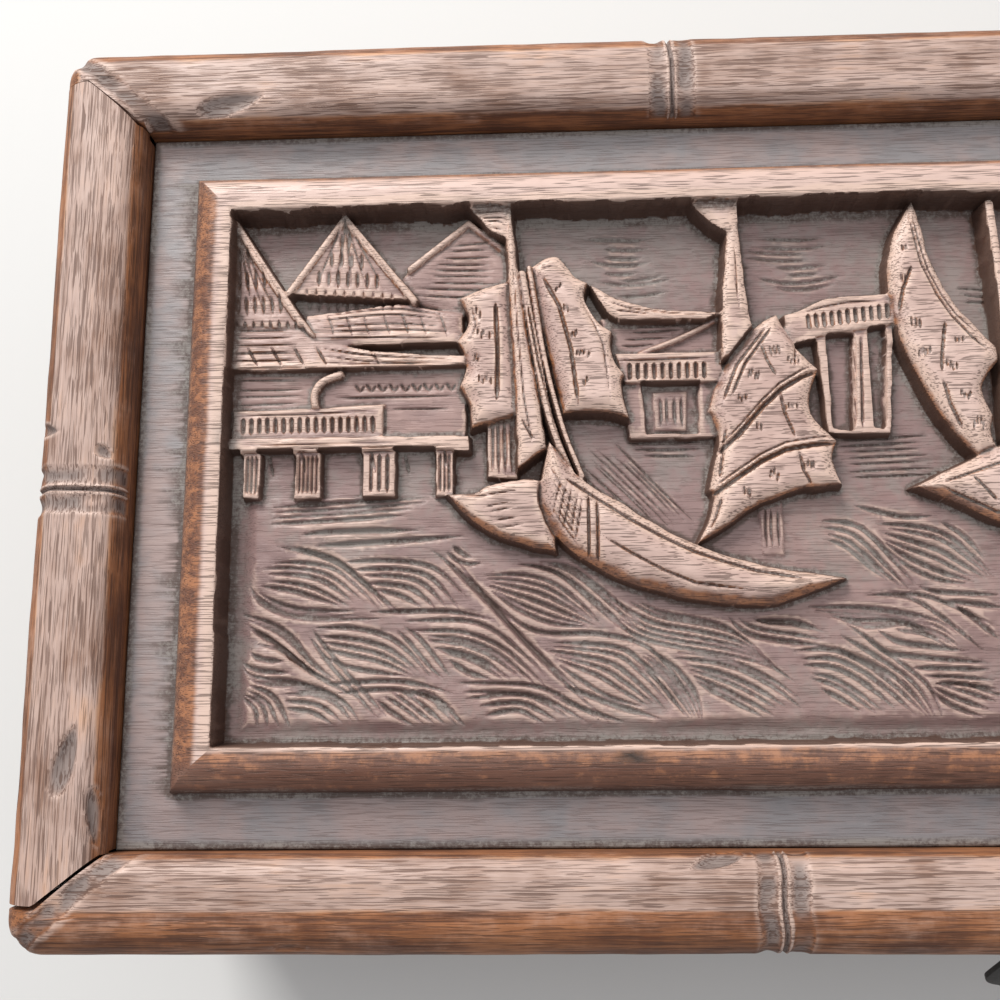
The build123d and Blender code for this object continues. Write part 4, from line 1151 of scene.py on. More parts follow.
    def fan_sail_junk(self) -> None:
        """Junk whose battened sail opens like a fan."""
        self.form(((-44.4, -7.4), (-40.8, -6.6), (-40.8, -15.6), (-44, -15.4)), 1.6, crown=0.2)
        self.fan(((-43.4, -8), (-43.4, -14.6)), ((-41.4, -8), (-41.4, -14.6)), 3, 0.6, 0.5, 1.6)
        self.form(strip(((-47.4, 40), (-48.0, 34), (-48.6, 28), (-49.2, 17)), ((-45.4, 44.6),
            (-45.0, 38), (-44.4, 28), (-43.2, 20))), 4.7, crown=0.5, width=1.4, soot=1.0, stain=0.8)
        self.stroke(((-46, 38), (-46.2, 31), (-45.8, 25)), 0.45, 0.3, 4.7)
        self.form(ring(((-53.2, 46), (-52.4, 43.8), (-48.6, 40.4), (-46.6, 39.4)), ((-45.2, 41.4),),
            ((-45.2, 46),), ((-53.2, 46),)), 4.9, crown=0.4, soot=1.0)
        sail = ring(((-39.4, 25.3), (-42, 24.1), (-45.2, 21), (-48.2, 17), (-50.2, 12.5),
            (-51.5, 8.7)), ((-50.5, 6.8), (-50.1, 4), (-50.9, 0), (-52.1, -4.7)), ((-51.4, -6.2),
            (-52.6, -10), (-54.2, -13.4)), ((-50.2, -11.2), (-45.2, -7.9), (-41.8, -6.4),
            (-37.5, -5), (-30.6, -4.5)), ((-31.7, -2), (-31.9, 0.5), (-31, 3)), ((-34.5, 7),
            (-35.1, 10), (-33.3, 15.4)), ((-35, 17.2), (-37, 20.3), (-39.4, 25.3)))
        self.form(sail, 4.4, lean=(0.05, -0.045), crown=1.2, width=2.8, soot=1.0, stain=1.2)
        for line in (((-50.6, 1.2), (-47, 4.3), (-43, 8.8), (-39.8, 11.8), (-36, 14), (-33.6, 15)),
            ((-51.8, -5.8), (-48, -3.2), (-43.5, -0.2), (-39.5, 1.6), (-35, 2.3), (-31.2, 2.7))):
            self.stroke(line, 1.0, 0.85, 4.6, 0.04, 0.04)
            self.stroke([(x, y + 1.2) for x, y in line], 0.5, 0.35, 4.6, 0.1, 0.1)
        for line in (((-42.4, 20), (-41.6, 17), (-40.2, 14.2)), ((-39.9, 11.6), (-39.4, 8),
            (-37.8, 3.4)), ((-37.5, 1.2), (-37, -2), (-35.6, -4.4)), ((-41.4, 23), (-46.6, 16.4),
            (-49.3, 9.8)), ((-40.4, 23), (-45.2, 16.6), (-47.9, 10.6)), ((-48.9, 5.6),
            (-49.6, 1.6), (-50.4, -3)), ((-50.2, -6.2), (-51.4, -9.6), (-52.4, -11.6)),
            ((-36.4, 20), (-37.2, 16.4))):
            self.stroke(line, 0.6, 0.45, 4.6, 0.12, 0.15)
        self._ticks(((-41, 19.6), (-44.4, 15.6), (-39.2, 9.8), (-43.8, 6.8), (-42, -1.6),
            (-36.8, -0.2), (-46.4, 11.2), (-46.6, -4.6), (-38, 17.4)), 4.6)

    def tall_sail_junk(self) -> None:
        """Junk under one tall curved sail, its bow towards the middle of the board."""
        self.fan(((-9.6, 29), (-3, 28.2)), ((-8.6, 26.4), (-3, 26)), 3, 0.6, 0.4, 1.0)
        sail = ring(((-15.6, 45), (-18.2, 41), (-19.8, 37), (-20.6, 33), (-20.6, 28), (-19.3, 20),
            (-17.8, 16), (-15.8, 11), (-13.8, 7), (-10.8, 2.5), (-8.6, 0.2)), ((-5.4, 1.6),),
            ((-6.1, 4.3), (-5.6, 6.8)), ((-6.9, 11.6), (-4, 16.2)), ((-4, 18.6),), ((-7, 22.2),
            (-9.5, 25.4), (-11.5, 29.4), (-13.4, 34), (-14.4, 40), (-15.6, 45)))
        self.form(sail, 4.7, lean=(0.05, 0), crown=1.3, width=3.0, soot=1.0, stain=1.2)
        for line in (((-16.6, 42.6), (-15.9, 38), (-15.1, 33), (-13, 27.6), (-11, 23.8), (-8, 20),
            (-5, 17.2)), ((-15.9, 42), (-15, 37), (-14, 32), (-12, 27.4), (-10, 24), (-6.6, 20.4)),
            ((-16.8, 33), (-18.5, 29), (-19.4, 25)), ((-12.2, 23), (-13.1, 18), (-13.5, 14)),
            ((-13.4, 13), (-12.6, 9), (-10.8, 4.6))):
            self.stroke(line, 0.65, 0.5, 4.8, 0.1, 0.15)
        self._ticks(((-18, 37), (-18.6, 32), (-17.6, 24), (-16.6, 18.6), (-12.4, 16.2), (-10.6, 11),
            (-9, 6.4), (-10.8, 20.4)), 4.8)
        self.form(ring(((-19, -4.5), (-14, -2.1), (-10, -0.4), (-4, 2.4), (4, 4.4), (14, 4.6)),
            ((17, 6.5),), ((14.5, -2), (8, -8.4), (-1, -11.2), (-7, -10), (-12, -7.4),
            (-19, -4.5))), 5.3, lean=(0, 0.05), crown=1.8, width=4.2, soot=1.0, stain=2.6)
        for line in (((-15, -4.2), (-6, -1.3), (4, 1.2), (14, 2.4)), ((-14.6, -4.9), (-6.5, -9),
            (0, -9.9), (7, -7)), ((-10, -3.2), (-6.4, -7.4)), ((6, 2), (6, -7)), ((7.4, 2.2),
            (7.4, -6.2))):
            self.stroke(line, 0.6, 0.45, 5.1, 0.1, 0.15)
        self.form(ring(((-3.4, 20), (0.4, 29), (4.6, 33)), ((8.4, 31), (10.6, 26)), ((9.8, 22),
            (11.6, 17.6)), ((10.6, 13), (12.4, 7.6)), ((5, 6), (-2.4, 6.6)), ((-1.4, 13),
            (-3.4, 20))), 4.5, crown=0.9, soot=1.0, stain=1.1)
        for line in (((-2.4, 19), (4, 18.2), (11, 17.6)), ((0.8, 28.6), (5, 27), (10.2, 26)),
            ((-1.6, 12.6), (5, 12), (11, 12.8)), ((4.4, 31), (4.8, 18), (4.6, 7.4))):
            self.stroke(line, 0.6, 0.45, 4.5, 0.1, 0.1)
        self.bar(((-3.2, 43.6), (-2.4, 24), (-2.8, 3.6)), 1.8, 4.9)

    def sky(self) -> None:
        """Short level cuts of cloud."""
        for left, right in ((-71.5, -56), (-45, -27)):
            middle = (left + right) / 2
            self.fan(((left, 38.3), (middle, 37.6), (right - 4, 38.4)), ((left + 2, 29.6), (middle,
                28.8), (right, 29.9)), 8, 1.1, 0.42, 0.0, 0.3, 0.35)

    def water(self) -> None:
        """Running water: bundles of gouge strokes that start level and turn down together."""
        for count, first, last in WATER:
            self.fan(first, last or first, count, self.water_width, self.water_depth, 1.0)


# ---------------------------------------------------------------- meshes
def mesh_of(name: str, places: Grid, faces: Sequence[Sequence[int]]) -> bpy.types.Mesh:
    """A mesh from millimetre places and faces."""
    mesh = bpy.data.meshes.new(name)
    mesh.from_pydata((np.asarray(places) * MM).tolist(), [], [list(map(int, f)) for f in faces])
    mesh.update()
    return mesh


def tube_faces(rings: int, around: int) -> list[list[int]]:
    """Faces that join rings of places into a tube, with a cap at each end."""
    faces = [
        [r * around + i, (r + 1) * around + i, (r + 1) * around + (i + 1) % around,
         r * around + (i + 1) % around]
        for r in range(rings - 1) for i in range(around)
    ]
    far_cap = [(rings - 1) * around + i for i in reversed(range(around))]
    return [*faces, list(range(around)), far_cap]


def keep(mesh: bpy.types.Mesh, name: str, values: Grid, domain: str = "POINT") -> None:
    """Keep a number for each vertex or face of a mesh."""
    attribute = mesh.attributes.new(name, "FLOAT", domain)
    attribute.data.foreach_set("value", np.asarray(values, np.float32))


def soften(mesh: bpy.types.Mesh, degrees: float) -> None:
    """Shade smooth, but for edges sharper than an angle."""
    mesh.shade_smooth()
    mesh.set_sharp_from_angle(angle=math.radians(degrees))


@dataclass
class Kit:
    """Places finished pieces on the frame."""

    nodes: dict[str, bpy.types.Object]
    finishes: dict[Slot, bpy.types.Material]
    made: list[str] = field(default_factory=list)

    def put(
        self,
        name: str,
        mesh: bpy.types.Mesh,
        body: Body,
        slot: Slot,
        replaces: Sequence[str] = (),
        finish: bpy.types.Material | None = None,
    ) -> bpy.types.Object:
        """Make a piece of a mesh that is already in the row frame.

        Args:
            name: the piece's name.
            mesh: its mesh, in metres.
            body: the body it rides on.
            slot: the record's slot for its finish.
            replaces: nodes of the frame that it stands for.
            finish: a material other than the slot's usual one.

        Returns:
            The object.
        """
        piece = bpy.data.objects.new(name, mesh)
        bpy.context.scene.collection.objects.link(piece)
        mesh.materials.clear()
        mesh.materials.append(finish or self.finishes[slot])
        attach(piece, body.value)
        if replaces:
            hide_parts(*replaces)
        self.made.append(name)
        log.info("%s: %d faces on %s", name, len(mesh.polygons), body.value)
        return piece


@dataclass
class CarvedBoard:
    """The lid's plank: a plain channel, a mitred rim and the picture sunk inside it."""

    half: Point = BOARD_HALF
    underside: float = 84.2
    channel: float = 91.2
    rim_half: Point = RIM_HALF
    rim_width: float = 7.3
    rim_height: float = 5.0
    slope_radius: float = 4.6
    edge_radius: float = 0.7
    floor: float = 90.0
    lowest: float = -0.35
    over_rim: float = 1.1
    level_range: float = 5.4
    bank: float = -1.4
    bank_run: float = 6.5
    water_half: float = 129.0
    water_front: float = 43.2
    seam_depth: float = 0.35
    seam_width: float = 0.4
    spot: Point = (-66.0, -47.0)
    spot_half: Point = (2.4, 1.1)
    foot_dirt: float = 0.9
    foot_dirt_front: float = -38.0
    pitch: float = 0.22
    most_triangles: int = 185000

    def _picture(self, canvas: Canvas) -> None:
        """Cut the picture: the drawn half, and the same motifs rearranged beyond it."""
        near = Picture(canvas, seed=11)
        canvas.z += self._water_bed(canvas)
        near.sky()
        near.houses()
        near.pavilion()
        near.landing()
        near.water()
        far_shore = Picture(canvas, flip=True, seed=23)
        far_shore.sky()
        far_shore.houses()
        for part, shift, seed in (
            (Picture.pavilion, 6.0, 29), (Picture.water, -4.0, 31),
            (Picture.two_sail_junk, 2.0, 37), (Picture.fan_sail_junk, -1.0, 41),
        ):
            part(Picture(canvas, shift=shift, flip=True, seed=seed))
        near.two_sail_junk()
        near.fan_sail_junk()
        near.tall_sail_junk()

    def _water_bed(self, canvas: Canvas) -> Grid:
        """Low swelling ground that the water is cut in, level at its edges."""
        x, y = np.meshgrid(canvas.x, canvas.y)
        swell = Ripple(5)
        margin = np.minimum(self.water_half - np.abs(x), y + self.water_front)
        shore = ease((self.bank - y) / self.bank_run) * ease(margin / 2.8)
        return shore + shore * 0.3 * swell(x + y, y - 0.3 * x, 13.0, 5.0)

    def _across(self, x: Grid, y: Grid) -> Grid:
        """How far places lie in from the rim's outer foot."""
        return np.minimum(self.rim_half[0] - np.abs(x), self.rim_half[1] - np.abs(y))

    def _heights(self, canvas: Canvas) -> None:
        """Cut the whole upper face into a canvas, as heights over the frame's z = 0."""
        x, y = np.meshgrid(canvas.x, canvas.y)
        uneven = Ripple(3)
        canvas.z += 0.07 * uneven(x, y, 3.4, 1.9) + 0.05 * uneven(x, y, 0.9, 0.7)
        self._picture(canvas)
        canvas.z = np.clip(canvas.z, self.lowest, self.rim_height + self.over_rim) + self.floor
        across = self._across(x, y) + 0.16 * uneven(x, y, 21.0, 17.0)
        slope = np.clip(self.slope_radius - across, 0.0, self.slope_radius)
        rise = np.sqrt(self.slope_radius**2 - slope**2) + self.rim_height - self.slope_radius
        rim = np.where(across > 0, rise, 0.0)
        lip = np.clip(across - (self.rim_width - self.edge_radius), 0.0, self.edge_radius)
        rim = rim - (self.edge_radius - np.sqrt(self.edge_radius**2 - lip**2))
        rim += 0.09 * uneven(x, y, 16.0, 3.0) * (rim > 0.5)
        wobble = 0.22 * uneven(x, y, 5.3, 6.1) + 0.12 * uneven(x, y, 1.3, 1.1)
        # the inner edge is ragged where the carver's chisel met the rim at the back
        wobble = wobble * (1.0 + 1.3 * ease((y - 40) / 3))
        outside = ease((self.rim_width - across + wobble * 0.8) / 0.5 + 0.5)
        plain = self.channel + rim + 0.035 * uneven(x, y, 9.0, 0.8) * (across < 0)
        canvas.z = canvas.z * (1 - outside) + plain * outside
        self.field = 1.0 - ease((-across + 0.3) / 0.5)
        seam = np.minimum(self.half[0] - np.abs(x), self.half[1] - np.abs(y))
        canvas.z -= self.seam_depth * (1.0 - np.clip(seam / self.seam_width, 0, 1)) ** 2

    def _marks(self, canvas: Canvas) -> dict[str, Grid]:
        """What the finish needs: level, hollows, crests, steep cuts and spots."""
        x, y = np.meshgrid(canvas.x, canvas.y)
        near, wide = (canvas.blurred(canvas.z, r) for r in (2, 7))
        slope_y, slope_x = np.gradient(canvas.z, canvas.pitch)
        foot = np.exp(-np.abs(self._across(x, y) - self.rim_width - 0.7)) * self.foot_dirt
        foot = foot * (y > self.foot_dirt_front)
        spot = sum(
            ((at - middle) / half) ** 2
            for at, middle, half in zip((x, y), self.spot, self.spot_half)
        )
        spot = spot + 0.5 * Ripple(8)(x, y, 1.1, 0.8)
        slope = np.hypot(slope_x, slope_y)
        lodged = (near - canvas.z) * 2.4 + (wide - canvas.z) * 0.2 + canvas.gouged * 0.45
        # hollow includes the dust and painted shade at the forms' feet
        return {
            "level": np.clip((canvas.z - self.floor) / self.level_range, 0, 1),
            "hollow": np.clip(lodged, 0, 1) + np.clip(foot + canvas.soot * 0.4, 0, 1),
            "worn": np.clip((canvas.z - near) * 3.2 + (canvas.z - wide) * 0.7, 0, 1),
            "steep": np.clip((slope - 1.6) / 3.0, 0, 1) * self.field,
            "field": self.field,
            "edge": canvas.edge * self.field,
            "spot": ease(1.5 - spot),
        }

    def _half(
        self, kit: Kit, name: str, left: float, right: float, replaces: Sequence[str]
    ) -> None:
        """Make one half of the board as a closed piece."""
        canvas = Canvas(left, right, -self.half[1], self.half[1], self.pitch)
        self._heights(canvas)
        marks = self._marks(canvas)
        rows, columns = canvas.z.shape
        x, y = np.meshgrid(canvas.x, canvas.y)
        top = np.stack([x.ravel(), y.ravel(), canvas.z.ravel()], 1)
        index = np.arange(rows * columns).reshape(rows, columns)
        edge = np.concatenate([index[0, :-1], index[:-1, -1], index[-1, :0:-1], index[:0:-1, 0]])
        base = top[edge] * (1, 1, 0) + (0, 0, self.underside)
        centre = len(top) + len(edge)
        low = np.arange(len(top), centre)
        cells = np.stack([index[:-1, :-1], index[:-1, 1:], index[1:, 1:], index[1:, :-1]], -1)
        sides = np.stack([low, np.roll(low, -1), np.roll(edge, -1), edge], 1)
        fans = np.stack([np.roll(low, -1), low, np.full(len(low), centre)], 1)
        middle = [((left + right) / 2, 0, self.underside)]
        faces = [*cells.reshape(-1, 4).tolist(), *sides.tolist(), *fans.tolist()]
        mesh = mesh_of(name, np.vstack([top, base, middle]), faces)
        mesh = self._thinned(mesh, self.most_triangles / (2 * len(faces)))
        self._note(mesh, canvas, marks)
        soften(mesh, 50)
        kit.put(name, mesh, Body.LID, Slot.CARVED, replaces)

    @staticmethod
    def _thinned(mesh: bpy.types.Mesh, ratio: float) -> bpy.types.Mesh:
        """The mesh with fewer triangles where it is smooth."""
        block = bpy.data.objects.new(mesh.name, mesh)
        bpy.context.scene.collection.objects.link(block)
        thin = block.modifiers.new("thin", "DECIMATE")
        thin.ratio = ratio
        graph = bpy.context.evaluated_depsgraph_get()
        result = bpy.data.meshes.new_from_object(block.evaluated_get(graph))
        bpy.data.objects.remove(block)
        return result

    @staticmethod
    def _note(mesh: bpy.types.Mesh, canvas: Canvas, marks: dict[str, Grid]) -> None:
        """Keep each mark on the mesh, read from the canvas at every vertex."""
        places = np.empty(len(mesh.vertices) * 3, np.float32)
        mesh.vertices.foreach_get("co", places)
        places = places.reshape(-1, 3) / MM
        column = np.clip(np.rint((places[:, 0] - canvas.x[0]) / canvas.pitch), 0, len(canvas.x) - 1)
        row = np.clip(np.rint((places[:, 1] - canvas.y[0]) / canvas.pitch), 0, len(canvas.y) - 1)
        for name, values in marks.items():
            keep(mesh, name, values[row.astype(int), column.astype(int)])

    def build(self, kit: Kit) -> None:
        """Make both halves; they meet under the middle of the picture."""
        self._half(kit, "carved_board_left", -self.half[0], 0.0, ["lid_board"])
        self._half(kit, "carved_board_right", 0.0, self.half[0], [])


@dataclass(frozen=True)
class Scoop:
    """A gouge cut: an oval hollow, round at one end and drawn out at the other."""

    along: float
    inset: float
    length: float
    width: float
    turn: float
    depth: float = 1.0

    def hollow(self, along: Grid, girth: Grid) -> Grid:
        """Depth of the cut at places along and across the rail."""
        turn = math.radians(self.turn)
        u = (along - self.along) * math.cos(turn) + (girth - self.inset) * math.sin(turn)
        v = (girth - self.inset) * math.cos(turn) - (along - self.along) * math.sin(turn)
        u = u / (self.length / 2)
        narrow = np.clip(1.0 - 0.55 * (u + 1) / 2, 0.3, 1.0)
        square = u**2 + (v / (self.width / 2 * narrow)) ** 2
        return self.depth * np.clip(1.0 - square, 0.0, 1.0) ** 0.8


@dataclass
class Rail:
    """One bamboo-form rail, swept along its side and gouged.

    Places on a rail are its distance along the side, inset from the outer face and height
    over its foot, seen with the rail turned to the front.
    """

    name: str
    turn: float
    reach: float
    half_side: float
    long: bool
    base: float
    height: float
    crown: float
    inner: float
    body: Body
    nodes: tuple[float, ...]
    scoops: tuple[Scoop, ...] = ()
    gap: tuple[float, float] = (0.15, 0.15)
    flat: Triple | None = None
    seed: int = 1
    width: float = 15.2
    foot: float = 1.8
    corner: float = 6.0
    mitre_x: float = 5.6
    mitre_y: float = 7.2
    nodes_on_crown: bool = True
    # stained widths of the outer and inner sides, partly painted shade on the turned sides
    stain: tuple[float, float] = (3.0, 3.0)
    groove_half: float = 0.55
    groove_depth: float = 0.85
    cheek_place: float = 2.35
    cheek_half: float = 1.75
    cheek_depth: float = 0.62
    # how far below its top the rail is stained, partly painted shade low on its sides
    stain_and_shade_height: float = 4.5
    band_place: float = 3.1
    band_half: float = 1.55

    def __post_init__(self) -> None:
        """Start the rail's own unevenness."""
        self.ripple = Ripple(self.seed)

    def _profile(self) -> Grid:
        """Inset, height and outward normal round the section, from the foot over the crown."""
        top = self.height
        slant = math.sqrt(0.5)
        rows = [(self.foot, 0, -0.3, -1), (self.foot * 0.5, self.foot * 0.5, -slant, -slant)]
        rows += [(0, h, -1, 0) for h in np.arange(self.foot, top - self.crown, 0.7)]
        for a in np.linspace(0, math.pi / 2, max(5, int(self.crown * 2.6))):
            c, s = math.cos(a), math.sin(a)
            rows.append((self.crown * (1 - c), top - self.crown * (1 - s), -c, s))
        level = np.arange(self.crown + 0.45, self.width - self.inner - 0.2, 0.45)
        rows += [(d, top, 0, 1) for d in level]
        if self.inner:
            for a in np.linspace(math.pi / 2, 0, 12):
                c, s = math.cos(a), math.sin(a)
                rows.append((self.width - self.inner * (1 - c), top - self.inner * (1 - s), c, s))
        else:
            rows += [(self.width - 0.3, top, 0, 1), (self.width, top - 0.3, 1, 0)]
        low = self.inner + 0.8
        rows += [(self.width, h, 1, 0) for h in np.arange(top - low, 0.4, -0.9)]
        rows += [(self.width, 0.3, 1, 0), (self.width - 0.3, 0, 0, -1)]
        rows += [(d, 0, 0, -1) for d in np.arange(self.width - 1.2, self.foot + 0.5, -1.1)]
        return np.array(rows)

    def _stations(self) -> Grid:
        """Distances along the straight part, closer together at the nodes and scoops."""
        fine = [*self.nodes] + [s.along for s in self.scoops]
        reach = [4.6] * len(self.nodes) + [s.length * 0.6 for s in self.scoops]
        inner = self.half_side - self.width
        at, places = -inner, [-inner]
        while at < inner:
            close = any(abs(at - f) < r for f, r in zip(fine, reach))
            at += 0.22 if close else 0.6
            places.append(min(at, inner))
        if self.flat:
            half = self.flat[0]
            places += [-half - 0.02, -half + 0.02, half - 0.02, half + 0.02]
        return np.unique(np.round(places, 4))

    def _end(self, inset: Grid, count: int, gap: float) -> tuple[Grid, Grid, Grid]:
        """Plan of one end, mirrored for the other: each row runs on to the mitre or corner.

        Args:
            inset: each row's inset.
            count: stations in the end.
            gap: how far the mitre stands open at its outer end, or at its inner end if negative.

        Returns:
            Along, inset and turn of the outward direction, rows by stations.
        """
        share = np.linspace(0, 1, count + 1)[1:][None, :]
        inset = inset[:, None]
        start = self.half_side - self.width
        if not self.long:
            slant = np.clip((inset - self.mitre_x) / (self.width - self.mitre_x), 0, 1)
            stop = self.half_side - self.mitre_y - slant * (self.width - self.mitre_y)
            stop = stop - (gap * (1 - 0.6 * slant) if gap > 0 else -gap * (0.2 + slant**2))
            along = start + (stop - start) * share
            return along, inset + 0 * along, 0 * along
        slant = np.clip((inset - self.mitre_y) / (self.width - self.mitre_y), 0, 1)
        stop = self.half_side - self.mitre_x - slant * (self.width - self.mitre_x)
        before = np.clip((inset - self.corner) / (self.mitre_y - self.corner), 0, 1)
        stop = np.where(slant > 0, stop, self.half_side - self.corner + 0.9 * before)
        straight = start + (stop - start) * share
        bend = self.half_side - self.corner
        radius = self.corner - inset
        arc = np.clip((share - 0.45) / 0.5, 0, 1) * math.pi / 2
        beyond = np.clip((share - 0.95) / 0.05, 0, 1) * (self.mitre_y - self.corner)
        turning = np.where(share < 0.45, start + (bend - start) * share / 0.45,
                           bend + radius * np.sin(arc))
        round_inset = np.where(share < 0.45, inset + 0 * share,
                               self.corner - radius * np.cos(arc) + beyond)
        outer = inset < self.corner
        return (np.where(outer, turning, straight), np.where(outer, round_inset, inset + 0 * share),
                np.where(outer & (share > 0.45), arc, 0.0))

    def _depth(self, along: Grid, inset: Grid, girth: Grid, up: Grid) -> tuple[Grid, Grid]:
        """How deep the tools cut at each place, and how much of that is a dark groove.

        Args:
            along: distance along the side.
            inset: inset from the outer face.
            girth: distance round the section from the middle of the crown.
            up: whether the place is on the outer side, the crown or the inner rounding.

        Returns:
            Depths and darkness.
        """
        depth = np.zeros(along.shape)
        dark = np.zeros(along.shape)
        for index, node in enumerate(self.nodes):
            off = along - (node + 0.35 * self.ripple(girth, 0 * girth + index, 5.0, 1.0))
            groove = np.clip(1.0 - np.abs(off) / self.groove_half, 0.0, 1.0)
            cheek = sum(
                np.clip(1.0 - ((off - side * self.cheek_place) / self.cheek_half) ** 2, 0.0, 1.0)
                for side in (-1, 1)
            )
            broken = np.clip(0.72 + 0.5 * self.ripple(along, girth, 2.1, 2.6), 0.2, 1.1)
            chatter = 0.12 * self.ripple(along, girth, 3.0, 0.55)
            cheeks = (self.cheek_depth * broken + chatter) * cheek
            depth += (self.groove_depth * groove + cheeks) * up
            dark = np.maximum(dark, np.maximum(groove, cheek * broken * 0.62) * up)
        for scoop in self.scoops:
            cut = scoop.hollow(along, girth) * up
            depth += cut
            dark = np.maximum(dark, np.clip(cut * 0.75, 0, 0.75))
        if self.long and self.inner:
            # gouged band beside the mitre
            for side in (-1, 1):
                away = self.half_side - self.width - side * along
                line = (away + (self.width - inset) * 1.19 - self.band_place) / self.band_half
                band = np.clip(1.0 - (line / 1.7) ** 2, 0.0, 1.0) * up
                rough = np.clip(0.7 + 0.5 * self.ripple(along, inset, 1.7, 1.5), 0.1, 1.1)
                depth += 0.7 * band * rough
                dark = np.maximum(dark, band * rough * 0.75)
        return depth, dark

    def mesh(self, slots: Sequence["Slit"] = ()) -> bpy.types.Mesh:
        """Sweep, gouge and close the rail.

        Args:
            slots: rooms for metalwork on its underside.

        Returns:
            The rail's mesh in the row frame.
        """
        rows = self._profile()
        stations = self._stations()
        inset, height, normal_in, normal_up = (rows[:, i][:, None] for i in range(4))
        count = 34 if self.long else 22
        low = self._end(rows[:, 0], count, self.gap[0])
        high = self._end(rows[:, 0], count, self.gap[1])
        straight = np.repeat(stations[None, :], len(rows), 0)
        along = np.hstack([-low[0][:, ::-1], straight, high[0]])
        plan_inset = np.hstack([low[1][:, ::-1], inset + 0 * straight, high[1]])
        swing = np.hstack([-low[2][:, ::-1], 0 * straight, high[2]])
        height = height + 0 * along
        outer = (normal_in < 0) + 0 * along > 0.5
        normal_along = np.where(outer, -normal_in * np.sin(swing), 0.0)
        normal_inset = np.where(outer, normal_in * np.cos(swing), normal_in + 0 * along)
        step = np.hypot(np.diff(rows[:, 0]), np.diff(rows[:, 1]))
        girth = np.concatenate([[0], np.cumsum(step)])
        from_middle = np.abs(rows[:, 0] - self.width / 2)
        crest = np.argmin(from_middle + (rows[:, 1] < self.height - 0.1) * 99)
        girth = (girth - girth[crest])[:, None] + 0 * along
        up = ((normal_up > -0.1) & (rows[:, 1][:, None] > 0.2)) + 0 * along
        inner_face = rows[:, 0] >= self.width - 0.01
        inner_face &= rows[:, 1] < self.height - self.inner - 0.4
        up = np.where(inner_face[:, None], 0.0, up)
        over = up if self.nodes_on_crown else up * (normal_in < -0.1)
        depth, dark = self._depth(along, plan_inset, girth, over)
        hump = 0.12 * self.ripple(along, girth, 26.0, 7.0)
        hump += 0.06 * self.ripple(along, girth, 5.0, 2.2)
        depth = depth + (0.14 - hump) * up
        along = along - normal_along * depth
        plan_inset = plan_inset - normal_inset * depth
        height = height - normal_up * depth * up
        if self.flat:
            half, level, cut = self.flat
            inside = (np.abs(along) < half) & (height < level)
            plan_inset = np.where(inside, np.maximum(plan_inset, cut), plan_inset)
        turn = math.radians(self.turn)
        x0, y0 = along, plan_inset - self.reach
        x = x0 * math.cos(turn) - y0 * math.sin(turn)
        y = x0 * math.sin(turn) + y0 * math.cos(turn)
        z = height + self.base
        for slit in slots:
            z = slit.clear(x, y, z)
        mesh = self._closed(x, y, z, dark, up, depth)
        # side: stain on the turned sides and low on the rail, partly painted shade
        outer_stain, inner_stain = self.stain
        edge = np.minimum(plan_inset, self.half_side - np.abs(along))
        side = np.maximum(outer_stain - edge, plan_inset - (self.width - inner_stain))
        low = (self.base + self.height - self.stain_and_shade_height - z) / 1.5
        keep(mesh, "side", [*ease(np.maximum(side, low) / 1.2 + 0.5).ravel(), 1.0, 1.0])
        return mesh

    def _closed(
        self, x: Grid, y: Grid, z: Grid, dark: Grid, up: Grid, depth: Grid
    ) -> bpy.types.Mesh:
        """Join the rows into a closed tube with an end cap at each end."""
        rows, columns = x.shape
        places = np.stack([x, y, z], -1).reshape(-1, 3)
        index = np.arange(rows * columns).reshape(rows, columns)
        ahead = np.roll(index, -1, axis=0)
        quads = np.stack([index[:, :-1], index[:, 1:], ahead[:, 1:], ahead[:, :-1]], -1)
        faces = quads.reshape(-1, 4).tolist()
        for column, order in ((0, 1), (-1, -1)):
            centre = len(places)
            loop = index[:, column]
            places = np.vstack([places, places[loop].mean(0)])
            pairs = zip(loop, np.roll(loop, -1))
            faces += [[a, b, centre][::order] for a, b in pairs]
        mesh = mesh_of(self.name, places, faces)
        edge_wear = np.clip(0.35 - np.abs(depth - 0.1), 0, 0.35) * up
        keep(mesh, "hollow", [*np.clip(dark, 0, 1).ravel(), 0.9, 0.9])
        keep(mesh, "worn", [*self._worn(dark, edge_wear).ravel(), 0, 0])
        soften(mesh, 55)
        return mesh

    @staticmethod
    def _worn(dark: Grid, base: Grid) -> Grid:
        """Rubbed lips beside the cuts."""
        beside = np.maximum(np.roll(dark, 3, axis=1), np.roll(dark, -3, axis=1))
        return np.clip((beside - dark) * 0.8 + base, 0, 1)


@dataclass(frozen=True)
class Slit:
    """Room for a hinge on a rail's underside: its leaf's bed and the round of its barrel."""

    place: float
    half: float
    leaf_front: float
    leaf_top: float
    axis_y: float
    axis_z: float
    radius: float

    def clear(self, x: Grid, y: Grid, z: Grid) -> Grid:
        """Heights raised where the metal lies."""
        near = np.abs(x - self.place) < self.half
        bed = near & (y > self.leaf_front) & (y < self.axis_y) & (z < self.leaf_top)
        z = np.where(bed, self.leaf_top, z)
        across = np.abs(y - self.axis_y)
        arch = self.axis_z + np.sqrt(np.clip(self.radius**2 - across**2, 0.0, None))
        return np.where(near & (across < self.radius) & (z < arch), arch, z)


